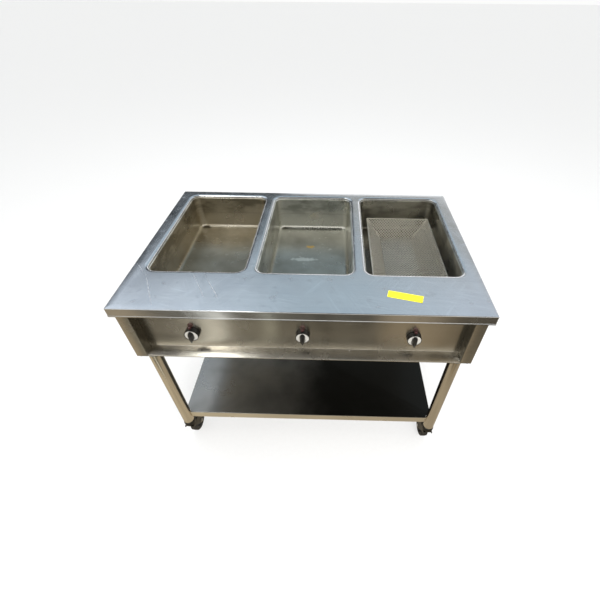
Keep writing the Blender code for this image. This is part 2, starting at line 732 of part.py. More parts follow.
def make_caster_wheel():
    """Hub, web and crowned tread in one ring; origin on its own axis."""
    bore = AXLE_RADIUS + 0.0006
    hub = FORK_INNER - 0.0012
    web = 0.0070
    half = [(bore, hub), (0.0130, hub), (0.0145, web), (WHEEL_RADIUS - 0.0150, web)]
    half += [(WHEEL_RADIUS - 0.0130, WHEEL_HALF_WIDTH - 0.0015)]
    half += [(WHEEL_RADIUS - 0.0030, WHEEL_HALF_WIDTH), (WHEEL_RADIUS, WHEEL_HALF_WIDTH - 0.0050)]
    profile = half + [(radius, -along) for radius, along in half[::-1]]
    return lathe("caster_wheel", profile, axis="X")


# ---- basket --------------------------------------------------------------
def make_basket():
    """Sloping-sided tray that stands on the well's floor; z = 0 at its base."""
    outlines = []
    corner = 0.006
    for wall, floor in ((0.0, 0.0), (BASKET_WALL, BASKET_WALL)):
        pair = []
        for size, height in ((BASKET_BASE, floor), (BASKET_RIM, BASKET_HEIGHT)):
            inner = (size[0] - 2 * wall, size[1] - 2 * wall)
            pair.append((rounded_rectangle(*inner, corner, 2), height))
        outlines.append(pair)
    return loft("mesh_basket", flat_rings(outlines[0] + outlines[1][::-1]))


# ---- assembly ------------------------------------------------------------
def clear_scene():
    for item in list(bpy.data.objects):
        bpy.data.objects.remove(item)


def add_empty(name, location, heading=0.0):
    empty = bpy.data.objects.new(name, None)
    empty.location = location
    empty.rotation_euler = (0, 0, math.radians(heading))
    bpy.context.scene.collection.objects.link(empty)
    return empty


def build_cabinet(finish):
    place("worktop", make_worktop(), finish["worktop_steel"])
    place("side_panel_left", make_side_panel(-1), finish["body_steel"])
    place("side_panel_right", make_side_panel(1), finish["body_steel"])
    place("control_panel", make_control_panel(), finish["body_steel"])
    place("back_panel", make_back_panel(), finish["galvanised"])
    place("bottom_pan", make_bottom_pan(), finish["galvanised"])


def build_wells(finish):
    for name, x in well_centres():
        place(f"well_liner_{name}", make_well_liner(x), finish["liner_steel"])
        place(f"well_jacket_{name}", make_well_jacket(x), finish["insulation"])
        place(f"heating_element_{name}", make_heating_element(x), finish["element"])
        place(f"element_tray_{name}", make_element_tray(x), finish["galvanised"])


def build_controls(finish):
    thermostat = make_thermostat()
    shaft = make_control_shaft()
    knob = make_knob()
    pilot = make_pilot_light()
    out_of_panel = (90, 0, 0)
    for name, x in knob_places():
        axis = (x, PANEL_FACE, KNOB_HEIGHT)
        place(f"thermostat_{name}", thermostat, finish["control_plastic"], axis, out_of_panel)
        place(f"control_shaft_{name}", shaft, finish["shaft_brass"], axis, out_of_panel)
        place(f"knob_{name}", knob, finish["knob_plastic"], axis, out_of_panel)
        lamp = (x, PANEL_FACE, KNOB_HEIGHT + PILOT_RISE)
        place(f"pilot_light_{name}", pilot, finish["pilot_lens"], lamp, out_of_panel)
    pan_top = PAN_FLOOR + SHEET + GAP
    terminal = (TERMINAL_PLACE[0], TERMINAL_PLACE[1], pan_top)
    place("terminal_block", make_terminal_block(), finish["control_plastic"], terminal)
    place("cord_gland", make_cord_gland(), finish["gland_nylon"], (*GLAND_PLACE, PAN_FLOOR))
    place("wire_loom", make_wire_loom(), finish["loom_sleeve"])


def build_stand(finish):
    leg = make_leg()
    gusset = make_leg_gusset()
    for name, (x, y, _) in LEG_PLACES.items():
        place(f"leg_{name}", leg, finish["leg_steel"], (x, y, LEG_END))
        place(f"leg_gusset_{name}", gusset, finish["galvanised"], (x, y, BODY_BOTTOM - GAP))
    place("undershelf", make_undershelf(), finish["body_steel"])


def build_casters(finish):
    stem = make_caster_stem()
    fork = make_caster_fork()
    axle = make_caster_axle()
    wheel = make_caster_wheel()
    hub = (0, CASTER_TRAIL, WHEEL_RADIUS)
    for name, (x, y, heading) in LEG_PLACES.items():
        place(f"caster_stem_{name}", stem, finish["stem_insert"], (x, y, 0))
        swivel = add_empty(f"swivel_{name}", (x, y, 0), heading)
        place(f"caster_fork_{name}", fork, finish["caster_zinc"], parent=swivel)
        place(f"caster_axle_{name}", axle, finish["axle_zinc"], hub, parent=swivel)
        place(f"caster_wheel_{name}", wheel, finish["wheel_rubber"], hub, parent=swivel)


def main():
    clear_scene()
    finish = make_materials()
    build_cabinet(finish)
    build_wells(finish)
    build_controls(finish)
    build_stand(finish)
    build_casters(finish)
    basket_base = (*BASKET_CENTRE, WELL_FLOOR + GAP)
    place("mesh_basket", make_basket(), finish["basket_steel"], basket_base)


main()
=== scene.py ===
"""Looks of the three-well steam table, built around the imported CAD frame.

Metres, +Z up, in the frame's own axes: -Y is the operator's side.  The sheet pieces are
rebuilt with round bends, the basket is woven wire, and every finish is made from nodes.
"""
import json
import math

import bmesh
import bpy
from mathutils import Matrix, Vector
from mathutils.geometry import intersect_line_line_2d


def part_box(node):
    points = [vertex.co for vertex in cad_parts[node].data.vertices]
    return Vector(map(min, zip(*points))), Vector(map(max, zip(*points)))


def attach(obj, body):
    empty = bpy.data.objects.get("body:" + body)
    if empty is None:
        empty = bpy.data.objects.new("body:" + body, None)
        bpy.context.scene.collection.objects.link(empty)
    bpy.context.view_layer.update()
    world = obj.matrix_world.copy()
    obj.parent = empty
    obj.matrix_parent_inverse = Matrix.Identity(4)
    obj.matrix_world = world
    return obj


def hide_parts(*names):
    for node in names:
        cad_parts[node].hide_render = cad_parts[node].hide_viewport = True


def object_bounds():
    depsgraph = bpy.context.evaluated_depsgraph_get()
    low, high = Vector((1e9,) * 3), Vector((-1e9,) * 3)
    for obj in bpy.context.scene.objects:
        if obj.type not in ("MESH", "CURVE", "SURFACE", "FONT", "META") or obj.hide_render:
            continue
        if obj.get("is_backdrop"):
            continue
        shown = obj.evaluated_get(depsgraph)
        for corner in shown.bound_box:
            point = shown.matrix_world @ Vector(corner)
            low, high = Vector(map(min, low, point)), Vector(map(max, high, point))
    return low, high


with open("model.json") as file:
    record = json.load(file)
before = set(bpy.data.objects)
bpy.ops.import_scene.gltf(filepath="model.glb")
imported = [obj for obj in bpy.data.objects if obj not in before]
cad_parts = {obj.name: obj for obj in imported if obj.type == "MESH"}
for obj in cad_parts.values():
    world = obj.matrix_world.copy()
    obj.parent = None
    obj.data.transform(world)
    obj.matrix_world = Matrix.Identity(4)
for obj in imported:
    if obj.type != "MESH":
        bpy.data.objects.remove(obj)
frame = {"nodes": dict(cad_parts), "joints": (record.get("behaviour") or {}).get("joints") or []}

CAD_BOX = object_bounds()
JOINTS = {joint["name"]: joint for joint in frame["joints"]}
WELLS = ("left", "centre", "right")
LEGS = ("front_left", "front_right", "rear_left", "rear_right")
CORNERS = ((-1, -1), (-1, 1), (1, -1), (1, 1))

# ---- sizes that repeat the design, in metres -----------------------------
SHEET = 0.0015
GAP = 0.0003
BEND = 0.0022
TOP_EDGE = 0.003
FASCIA_SET_BACK = 0.0007
HEM = 0.0055
FALL_WIDTH = 0.021
FALL = 0.0003
CUTOUT_MARGIN = 0.0047
ROLL_WIDTH = 0.011
ROLL_DEPTH = 0.0045
CUTOUT_LIP = 0.0072
WELL_CORNER = 0.028
WELL_TAPER = 0.004
WELL_COVE = 0.015
WELL_SHEET = 0.0012
WELL_FLANGE = 0.0125
WELL_LIP = 0.0025
LEDGE_RISE = 0.0105
LEDGE_LIP = 0.0035
LEDGE_CROWN = 2.2
REAR_FLANGE = 0.025
KNOB_RADIUS = 0.0228
KNOB_FOOT = 0.0012
KNOB_RIM = 0.0175
KNOB_TOP = 0.0285
PILOT_PROUD = 0.0165
LEG_WALL = 0.0015
SHELF_CORNER = 0.0045
WHEEL_HALF_WIDTH = 0.014
FORK_INNER = 0.016
FORK_PLATE = 0.0025
FORK_BOSS = 0.012
BRIDGE_THICKNESS = 0.0065
BRIDGE_CLEARANCE = 0.006
HEAD_RADIUS = 0.0225
AXLE_RADIUS = 0.006
GUSSET_THICKNESS = 0.004
WIRE = 0.00150
WIRE_SIDES = 6
WIRE_PITCH = 0.0082
WIRE_LIFT = 0.9 * WIRE
RIM_WIRE = 1.7 * WIRE
CORNER_WIRE = 1.3 * WIRE
BASKET_BASE = (0.132, 0.332)

# ---- places read from the frame ------------------------------------------
TOP_LOW, TOP_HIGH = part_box("worktop")
PANEL_LOW, PANEL_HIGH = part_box("control_panel")
SIDE_LOW, SIDE_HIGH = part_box("side_panel_right")
BACK_LOW, BACK_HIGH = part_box("back_panel")
PAN_LOW, PAN_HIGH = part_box("bottom_pan")
SHELF_LOW, SHELF_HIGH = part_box("undershelf")
BASKET_LOW, BASKET_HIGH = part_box("mesh_basket")
HEAD_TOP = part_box("caster_fork_front_left")[1].z
PANEL_FACE = JOINTS["knob_turn_left"]["pos_m"][1]
WHEEL_RADIUS = JOINTS["roll_front_left"]["pos_m"][2]


# ---- outlines ------------------------------------------------------------
def arc(centre, radius, start, end, steps):
    """Points of an arc, angles in degrees, both ends included."""
    points = []
    for step in range(steps + 1):
        angle = math.radians(start + (end - start) * step / steps)
        points.append((centre[0] + radius * math.cos(angle), centre[1] + radius * math.sin(angle)))
    return points


def circle(centre, radius, count=24):
    return arc(centre, radius, 0, 360 - 360 / count, count - 1)


def rounded_rectangle(width, depth, radius, steps, centre):
    """Corner arcs of a rectangle, counter-clockwise."""
    points = []
    for corner, (sx, sy) in enumerate(((1, 1), (-1, 1), (-1, -1), (1, -1))):
        middle = (centre[0] + sx * (width / 2 - radius), centre[1] + sy * (depth / 2 - radius))
        points += arc(middle, radius, 90 * corner, 90 * corner + 90, steps)
    return points


def folded_sheet(path, bend=BEND, thickness=SHEET, steps=5):
    """Closed outline of a sheet with round bends; path is one face, thickness is on its left."""
    face = [Vector(path[0])]
    for before, corner, after in zip(path, path[1:], path[2:]):
        corner = Vector(corner)
        back = (Vector(before) - corner).normalized()
        ahead = (Vector(after) - corner).normalized()
        half = back.angle(ahead) / 2
        centre = corner + (back + ahead).normalized() * bend / math.sin(half)
        first = corner + back * bend / math.tan(half) - centre
        last = corner + ahead * bend / math.tan(half) - centre
        sweep = math.atan2(first.x * last.y - first.y * last.x, first.dot(last))
        for step in range(steps + 1):
            face.append(centre + Matrix.Rotation(sweep * step / steps, 2) @ first)
    face.append(Vector(path[-1]))
    other = []
    for index, point in enumerate(face):
        ahead = face[min(index + 1, len(face) - 1)] - point
        back = point - face[max(index - 1, 0)]
        runs = [run.normalized() for run in (back, ahead) if run.length > 0]
        normals = [Vector((-run.y, run.x)) for run in runs]
        middle = sum(normals, Vector((0, 0))).normalized()
        other.append(point + middle * thickness / middle.dot(normals[0]))
    return [tuple(point) for point in face + other[::-1]]


# ---- meshes --------------------------------------------------------------
def finish_mesh(form, name, smooth_angle=32):
    bmesh.ops.recalc_face_normals(form, faces=form.faces)
    mesh = bpy.data.meshes.new(name)
    form.to_mesh(mesh)
    form.free()
    mesh.shade_smooth()
    mesh.set_sharp_from_angle(angle=math.radians(smooth_angle))
    return mesh


def skin(form, rings, closed):
    """Join each ring of points to the next, and close the run into a loop or cap its two ends.

    A ring of one point is a pole of a turned piece, which needs no cap.
    """
    rows = [[form.verts.new(point) for point in ring] for ring in rings]
    pairs = list(zip(rows, rows[1:]))
    if closed:
        pairs.append((rows[-1], rows[0]))
    elif len(rows[0]) > 1:
        form.faces.new(rows[0])
        form.faces.new(rows[-1])
    for first, second in pairs:
        count = max(len(first), len(second))
        for index in range(count):
            after = (index + 1) % count
            corners = [first[index % len(first)], first[after % len(first)]]
            corners += [second[after % len(second)], second[index % len(second)]]
            form.faces.new(dict.fromkeys(corners))


def loft(name, rings, closed=False, smooth_angle=32):
    form = bmesh.new()
    skin(form, rings, closed)
    return finish_mesh(form, name, smooth_angle)


def stack(name, outlines):
    """Loft of level outlines, each given with its height."""
    return loft(name, [[(x, y, height) for x, y in outline] for outline, height in outlines])


def prism(name, outline, start, end, axis="Z"):
    """Extrude an outline: (x, y) along Z, (y, z) along X, or (x, z) along Y."""
    order = {"Z": (0, 1, 2), "X": (2, 0, 1), "Y": (0, 2, 1)}[axis]
    return loft(name, [[[(u, v, along)[k] for k in order] for u, v in outline] for along in (start, end)])


def block(name, low, high):
    outline = [(low[0], low[1]), (high[0], low[1]), (high[0], high[1]), (low[0], high[1])]
    return prism(name, outline, low[2], high[2])


def lathe(name, profile, axis="Z", segments=48):
    """Turn a loop of (radius, distance along axis) points that stays clear of the axis, or ends on it."""
    rings = []
    for radius, along in profile:
        ring = []
        for index in range(segments if radius > 0 else 1):
            angle = 2 * math.pi * index / segments
            across = (radius * math.cos(angle), radius * math.sin(angle))
            ring.append((along, *across) if axis == "X" else (*across, along))
        rings.append(ring)
    return loft(name, rings, closed=profile[0][0] > 0)


def tube_rings(path, radius):
    """Rings of points round a path."""
    points = [Vector(point) for point in path]
    rings = []
    side = None
    for index, point in enumerate(points):
        heading = points[min(len(points) - 1, index + 1)] - points[max(0, index - 1)]
        heading.normalize()
        side = heading.orthogonal() if side is None else side - heading * side.dot(heading)
        side.normalize()
        other = heading.cross(side)
        angles = [2 * math.pi * step / WIRE_SIDES for step in range(WIRE_SIDES)]
        rings.append([point + radius * (math.cos(a) * side + math.sin(a) * other) for a in angles])
    return rings


def tubes(name, wires):
    """One mesh of separate round wires, each (path, radius, is_ring)."""
    form = bmesh.new()
    for path, radius, is_ring in wires:
        skin(form, tube_rings(path, radius), is_ring)
    return finish_mesh(form, name, 70)


def joined(name, meshes):
    """One mesh from several, each given with its own matrix."""
    form = bmesh.new()
    for mesh, matrix in meshes:
        before = len(form.verts)
        form.from_mesh(mesh)
        form.verts.ensure_lookup_table()
        bmesh.ops.transform(form, matrix=matrix, verts=form.verts[before:])
    return finish_mesh(form, name)


def show(name, data):
    """A new object in the scene."""
    shown = bpy.data.objects.new(name, data)
    bpy.context.scene.collection.objects.link(shown)
    return shown


def combine(mesh, others, operation):
    """Boolean of a mesh with each of the others in turn."""
    target = show("target", mesh)
    for other in others:
        tool = show("tool", other)
        modifier = target.modifiers.new("boolean", "BOOLEAN")
        modifier.operation = operation
        modifier.solver = "EXACT"
        modifier.object = tool
        graph = bpy.context.evaluated_depsgraph_get()
        result = bpy.data.meshes.new_from_object(target.evaluated_get(graph))
        target.modifiers.clear()
        target.data = result
        bpy.data.objects.remove(tool)
    bpy.data.objects.remove(target)
    result.materials.clear()
    result.shade_smooth()
    result.set_sharp_from_angle(angle=math.radians(32))
    return result


def fuse(mesh, *others):
    return combine(mesh, others, "UNION")


def cut(mesh, *others):
    return combine(mesh, others, "DIFFERENCE")


# ---- placing -------------------------------------------------------------
def at(x, y, z=0):
    return Matrix.Translation((x, y, z))


def spin(degrees, axis):
    return Matrix.Rotation(math.radians(degrees), 4, axis)


def centre_of(name):
    low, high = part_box(name)
    return (low + high) / 2


def place(name, mesh, finish, body="cabinet", replaces=(), matrix=None):
    """Show one piece with a finish of FINISH; body is what it moves with."""
    material, slot = FINISH[finish]
    piece = show(name, mesh)
    piece.matrix_world = matrix or Matrix()
    if not mesh.materials:
        mesh.materials.append(material)
    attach(piece, body)
    if replaces:
        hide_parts(*replaces)


# ---- shader nodes --------------------------------------------------------
class Value:
    """What a shader node puts out; arithmetic on it adds math nodes to the same tree."""

    def __init__(self, socket):
        self.socket = socket
        self.tree = socket.id_data

    def __add__(self, other):
        return math_node("ADD", self, other)

    def __sub__(self, other):
        return math_node("SUBTRACT", self, other)

    def __mul__(self, other):
        return math_node("MULTIPLY", self, other)

    def __abs__(self):
        return math_node("ABSOLUTE", self)


def add_node(tree, kind, inputs=None, **settings):
    """Add a shader node; an input is a number, a tuple or another node's Value."""
    made = tree.nodes.new(f"ShaderNode{kind}")
    for key, setting in settings.items():
        setattr(made, key, setting)
    for key, value in (inputs or {}).items():
        if isinstance(value, Value):
            tree.links.new(value.socket, made.inputs[key])
        else:
            made.inputs[key].default_value = value
    return made


def source(tree, kind, output):
    return Value(add_node(tree, kind).outputs[output])


def node(kind, inputs, output=0, **settings):
    """Add a node to the tree that its inputs come from, and give one of its outputs."""
    tree = next(value.tree for value in inputs.values() if isinstance(value, Value))
    return Value(add_node(tree, kind, inputs, **settings).outputs[output])


def math_node(operation, first, second=0):
    return node("Math", {0: first, 1: second}, operation=operation)


def vector_math(operation, first, second=(0, 0, 0), output="Vector"):
    return node("VectorMath", {0: first, 1: second}, output, operation=operation)


def split(vector):
    """X, Y and Z of a vector."""
    return [Value(part) for part in add_node(vector.tree, "SeparateXYZ", {0: vector}).outputs]


def surface_normal(where):
    return source(where.tree, "NewGeometry", "Normal")


def turned(where, angle):
    return node("VectorRotate", {"Vector": where, "Angle": angle})


def noise(where, scale, detail=3, stretch=(1, 1, 1)):
    mapped = node("Mapping", {"Vector": where, "Scale": stretch})
    inputs = {"Vector": mapped, "Scale": scale, "Detail": detail, "Roughness": 0.55}
    return node("TexNoise", inputs, "Fac")


def cells(where, scale, output):
    return node("TexVoronoi", {"Vector": where, "Scale": scale}, output)


def spread(value, low, high, to_low=0, to_high=1):
    """Smooth step of a value from one range to another."""
    inputs = {"Value": value, "From Min": low, "From Max": high, "To Min": to_low, "To Max": to_high}
    return node("MapRange", inputs, "Result", interpolation_type="SMOOTHSTEP")


def blend(factor, first, second):
    """Blend two colours; a factor of 0 gives the first."""
    factor_at, first_at, second_at, result_at = 0, 6, 7, 2
    inputs = {factor_at: factor}
    for index, colour in ((first_at, first), (second_at, second)):
        inputs[index] = colour if isinstance(colour, Value) else (*colour, 1)
    return node("Mix", inputs, result_at, data_type="RGBA")


def ramp(value, *stops):
    """Colour along a value, from (value, colour) stops in rising order."""
    low, high = stops[0][0], stops[-1][0]
    share = node("MapRange", {"Value": value, "From Min": low, "From Max": high}, "Result")
    made = add_node(value.tree, "ValToRGB", {0: share})
    elements = made.color_ramp.elements
    elements[1].position = 1
    for stop, _ in stops[1:-1]:
        elements.new((stop - low) / (high - low))
    for element, (_, colour) in zip(elements, stops):
        element.color = (*colour, 1)
    return Value(made.outputs["Color"])


def scaled(colour, factor):
    return tuple(min(1, part * factor) for part in colour)


def line_mask(where, start, end, width):
    """1 along a thin line on a flat top from start to end, fading to 0 at its edges and ends."""
    waver = 0.0015
    run = Vector(end) - Vector(start)
    moved = vector_math("ADD", where, (-start[0], -start[1], 0))
    x, y, _ = split(turned(moved, -math.atan2(run.y, run.x)))
    bent = y + noise(where, 30, 2) * waver - waver / 2
    across = spread(abs(bent), 0, width, 1, 0)
    ahead = spread(x, 0, run.length * 0.3)
    behind = spread(x, run.length * 0.7, run.length, 1, 0)
    broken = spread(noise(where, 160), 0.35, 0.6)
    return across * ahead * behind * broken


def blot_mask(where, centre, size):
    """1 in a ragged patch round a point, fading to 0 outside it; size is its half extents."""
    ragged = 2
    shrunk = vector_math("DIVIDE", vector_math("ADD", where, tuple(-c for c in centre)), size)
    reach = vector_math("LENGTH", shrunk, output="Value")
    return spread(reach + (noise(where, 90, 5) - 0.5) * ragged, 0.6, 1.1, 1, 0)


# ---- finishes ------------------------------------------------------------
def start_material(name, metallic, **sockets):
    """A new material and its object coordinates."""
    material = bpy.data.materials.new(name)
    material.use_nodes = True
    shader = material.node_tree.nodes["Principled BSDF"]
    for key, value in {"Metallic": metallic, **sockets}.items():
        shader.inputs[key.replace("_", " ")].default_value = value
    return material, source(material.node_tree, "TexCoord", "Object")


def surface(material, colour, roughness, height, distance, tangent=None):
    """Join the look up to the material's shader; distance is the depth of the bumps."""
    bump = node("Bump", {"Height": height, "Strength": 1, "Distance": distance})
    shader = material.node_tree.nodes["Principled BSDF"]
    looks = {"Base Color": colour, "Roughness": roughness, "Normal": bump, "Tangent": tangent}
    for key, value in looks.items():
        if value is not None:
            material.node_tree.links.new(value.socket, shader.inputs[key])
    return material


def steel(name, colour, rough, grain=(1, 0, 0), anisotropic=0.5, cloud=0.05, stain=0.2, tint=None,
          marks=None):
    """Brushed stainless steel: grain lines, hand marks, stains and a slightly wavy sheet.

    marks, when given, is called with the point, the colour and the roughness, and gives the last
    two back with the marks of use put on.
    """
    material, where = start_material(name, 1, Anisotropic=anisotropic)
    broad = noise(where, 170, 1, [0.02 if part else 1 for part in grain])
    haze = noise(where, 7, 2)
    smear = noise(where, 22, 1)
    shade = blend(broad, scaled(colour, 1 - cloud), scaled(colour, 1 + cloud))
    shade = blend(spread(haze, 0.45, 0.75, 0, stain), shade, tint or scaled(colour, 0.62))
    rougher = haze * 0.2 + smear * 0.1 + (rough - 0.15)
    if marks:
        shade, rougher = marks(where, shade, rougher)
    # Highlights on brushed metal stretch across its grain, so the tangent lies across it too.
    across = vector_math("CROSS_PRODUCT", surface_normal(where), (grain[0], grain[1] + 0.001, grain[2]))
    return surface(material, shade, rougher, noise(where, 4, 1), 0.0004, across)


SCRATCH_WIDTH = 0.0028
SCRATCHES = (
    ((-0.51, -0.191), (-0.421, -0.366)),
    ((-0.312, -0.21), (-0.24, -0.326)),
    ((-0.357, -0.196), (-0.28, -0.327)),
    ((-0.553, -0.149), (-0.512, -0.201)),
)


def worktop_marks(where, shade, rougher):
    """Long scratches, a haze of fine ones all over, and a few dull spots."""
    for start, end in SCRATCHES:
        mask = line_mask(where, start, end, SCRATCH_WIDTH)
        shade = blend(mask * 0.9, shade, (1, 1, 1))
        rougher = rougher + mask * 0.3
    for turn in (0.3, 1.1, 2.2):
        aside = turned(where, turn)
        lines = spread(noise(aside, 170, 1, (0.03, 1, 1)), 0.5, 0.75)
        patches = spread(noise(aside, 9, 2), 0.45, 0.65)
        shade = blend(lines * patches * 0.15, shade, (0.92, 0.95, 1))
    spots = spread(noise(where, 30, 1), 0.62, 0.74)
    return blend(spots * 0.12, shade, (0.4, 0.43, 0.47)), rougher + spots * 0.06


def inward_painted_shade(where, shade, rougher):
    """Painted shade: faces that look inwards are coloured near black, standing in for the shade in the
    recess at the returns beside the control panel.
    """
    # Painted shade: the inward faces are blended towards near black.
    painted_recess_shade = spread(split(where)[0] * split(surface_normal(where))[0], -0.25, -0.1, 0.8, 0)
    return blend(painted_recess_shade, shade, (0.1, 0.095, 0.08)), rougher


def water_marks(scorch, spots, tide, food=None):
    """Heat-darkened floor with scale spots, and a tide line; food is the place of a dried spill."""
    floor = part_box("well_liner_centre")[0].z
    water_line = floor + 0.073
    spill_size, limescale_and_highlight_size = (0.019, 0.011, 0.02), (0.052, 0.013, 0.02)

    def marks(where, shade, rougher):
        height = split(where)[2]
        low = spread(height, floor + 0.002, floor + 0.012, 1, 0)
        uneven = noise(where, 11, 2) * 0.4 + 0.55
        shade = blend(low * uneven, shade, scorch)
        heat = spread(noise(where, 9, 3, (1, 1, 2.5)), 0.42, 0.62) * 0.55
        shade = blend(heat * spread(height, floor + 0.04, floor + 0.1), shade, scorch)
        scale = spread(noise(where, 60, 2, (1, 1, 0.2)), 0.58, 0.72)
        patch = spread(noise(where, 14, 2), 0.48, 0.62)
        white = scale * patch * low * spots
        shade = blend(white, shade, (0.9, 0.89, 0.84))
        rougher = rougher + white * 0.3
        level = height + noise(where, 18) * 0.008
        below = spread(level, water_line - 0.005, water_line)
        above = spread(level, water_line, water_line + 0.006, 1, 0)
        shade = blend(below * above * tide, shade, (0.34, 0.31, 0.26))
        if food:
            # A pale patch beside the spill: partly limescale and partly a painted highlight, a curved band
            # of light on the well floor.
            limescale_and_highlight = blot_mask(where, (food[0] - 0.018, food[1] - 0.09, floor), limescale_and_highlight_size)
            shade = blend(limescale_and_highlight * 0.45, shade, (0.86, 0.85, 0.78))
            spill = blot_mask(where, (*food, floor), spill_size)
            shade = blend(spill * 0.85, shade, (0.72, 0.5, 0.17))
            rougher = rougher + spill * 0.35
        return shade, rougher

    return marks


def shelf_painted_shade(where, shade, rougher):
    """Painted shade: the top is darkened to near black towards the right, where the real shelf lies in
    shade under the unit; its edges keep a paler steel colour.
    """
    x, _, height = split(where)
    up = spread(height, SHELF_HIGH.z - 0.0012, SHELF_HIGH.z - 0.0003)
    upright = spread(abs(split(surface_normal(where))[2]), 0.3, 0.8, 1, 0)
    shade = blend(upright, shade, (0.78, 0.73, 0.63))
    # Painted shade: the top goes from its own colour at the left to near black at the right.
    ragged = x + noise(where, 6, 4) * 0.25 - 0.125
    painted_right_shade = spread(ragged, -0.3, 0.1) * up
    return blend(painted_right_shade * 0.96, shade, (0.012, 0.012, 0.01)), rougher + painted_right_shade * 0.12


def galvanised(name):
    """Zinc-coated sheet with its spangle."""
    material, where = start_material(name, 1)
    spangle = node("SeparateColor", {0: cells(where, 85, "Color")})
    dust = spread(noise(where, 12, 5), 0.45, 0.75)
    shade = blend(spangle, (0.45, 0.47, 0.49), (0.6, 0.62, 0.63))
    shade = blend(dust * 0.4, shade, (0.33, 0.31, 0.28))
    rougher = spangle * 0.14 + dust * 0.15 + 0.36
    return surface(material, shade, rougher, noise(where, 300), 0.0001)


def moulded(name, colour, rough, bump=0.00006, **sockets):
    """Moulded plastic or rubber: fine grain, scuffs and dust in pale patches."""
    material, where = start_material(name, 0, **sockets)
    grain = noise(where, 1800, 2)
    scuffs = spread(noise(where, 120, 5), 0.58, 0.75)
    dust = spread(noise(where, 25, 4), 0.45, 0.7)
    shade = blend(grain, scaled(colour, 0.85), scaled(colour, 1.15))
    shade = blend(scuffs * dust * 0.25, shade, (0.3, 0.28, 0.25))
    rougher = dust * 0.15 + scuffs * 0.1 + (rough - 0.05)
    return surface(material, shade, rougher, grain + scuffs, bump)


def plated(name, colour, rough, metallic=1):
    """Bright plating or turned metal with small pits and rubbed patches."""
    material, where = start_material(name, metallic)
    pits = spread(noise(where, 500, 4), 0.6, 0.72)
    rubbed = noise(where, 45, 5)
    shade = blend(rubbed, scaled(colour, 0.8), scaled(colour, 1.1))
    shade = blend(pits * 0.5, shade, scaled(colour, 0.35))
    rougher = rubbed * 0.2 + pits * 0.2 + (rough - 0.1)
    return surface(material, shade, rougher, rubbed - pits, 0.0001)


def oxidised(name):
    """Heat-darkened sheath of the heating elements."""
    material, where = start_material(name, 0.8)
    scale = noise(where, 160, 6)
    shade = blend(scale, (0.12, 0.1, 0.1), (0.27, 0.24, 0.22))
    shade = blend(spread(noise(where, 9, 2), 0.4, 0.7, 0, 0.5), shade, (0.24, 0.16, 0.11))
    return surface(material, shade, spread(scale, 0.2, 0.8, 0.42, 0.68), scale, 0.0003)


def wool(name):
    """Mineral wool felt: matted fibres in two directions."""
    material, where = start_material(name, 0, Sheen_Weight=0.35, Sheen_Roughness=0.6)
    stretches = ((0.12, 1, 1), (1, 0.12, 1))
    fibres = math_node("MAXIMUM", *(noise(where, 600, 4, stretch) for stretch in stretches))
    lumps = noise(where, 35, 4)
    shade = blend(fibres, (0.52, 0.47, 0.34), (0.8, 0.76, 0.63))
    shade = blend(spread(lumps, 0.5, 0.75, 0, 0.4), shade, (0.5, 0.42, 0.28))
    return surface(material, shade, spread(fibres, 0.3, 0.7, 0.85, 0.98), fibres + lumps * 2, 0.0012)


def braid(name):
    """Woven sleeve of the wiring: two crossing sets of strands."""
    material, where = start_material(name, 0)
    strands = []
    for turn in (0.7, -0.7):
        inputs = {"Vector": turned(where, turn), "Scale": 260, "Distortion": 0.4}
        strands.append(node("TexWave", inputs, "Fac"))
    weave = math_node("MAXIMUM", *strands)
    shade = blend(weave, (0.015, 0.015, 0.016), (0.1, 0.095, 0.09))
    return surface(material, shade, spread(weave, 0, 1, 0.82, 0.6), weave, 0.0005)


def lens(name):
    """Dark red pilot lens, faceted inside and glossy outside."""
    material, where = start_material(name, 0, Coat_Weight=1, Coat_Roughness=0.05)
    facets = cells(where, 620, "Distance")
    depth = noise(where, 140)
    shade = blend(facets, (0.012, 0.001, 0.002), (0.055, 0.004, 0.008))
    shade = blend(spread(depth, 0.5, 0.8, 0, 0.4), shade, (0.03, 0.004, 0.006))
    return surface(material, shade, spread(depth, 0.2, 0.8, 0.12, 0.3), facets, 0.0002)


def paper(name):
    """Glossy yellow label paper, a little creased."""
    material, where = start_material(name, 0)
    crease = noise(where, 60, 4)
    fibre = noise(where, 1500, 2)
    shade = blend(crease, (0.78, 0.7, 0.008), (0.86, 0.79, 0.02))
    return surface(material, shade, spread(fibre, 0.2, 0.8, 0.35, 0.5), crease + fibre * 0.1, 0.0004)


def make_liners():
    """Steel of each well: wall colour, stain colour and the marks that water and heat left."""
    looks = {
        "left": ((0.64, 0.6, 0.51), (0.42, 0.35, 0.22), water_marks((0.15, 0.132, 0.095), 0.1, 0.25)),
        "centre": ((0.72, 0.72, 0.67), (0.5, 0.49, 0.44),
                   water_marks((0.17, 0.17, 0.145), 0.25, 0.2, (-0.006, 0.172))),
        "right": ((0.46, 0.45, 0.4), (0.32, 0.3, 0.25), water_marks((0.1, 0.095, 0.085), 0.1, 0.25)),
    }
    for well, (wall, tint, marks) in looks.items():
        made = steel(f"liner_steel_{well}", wall, 0.3, (0, 1, 0), 0.35, stain=0.4, tint=tint, marks=marks)
        yield f"liner_{well}", (made, "liner_steel")


def slotted(maker, slot, *inputs, **settings):
    """A finish whose material has the name of its record slot."""
    return maker(slot, *inputs, **settings), slot


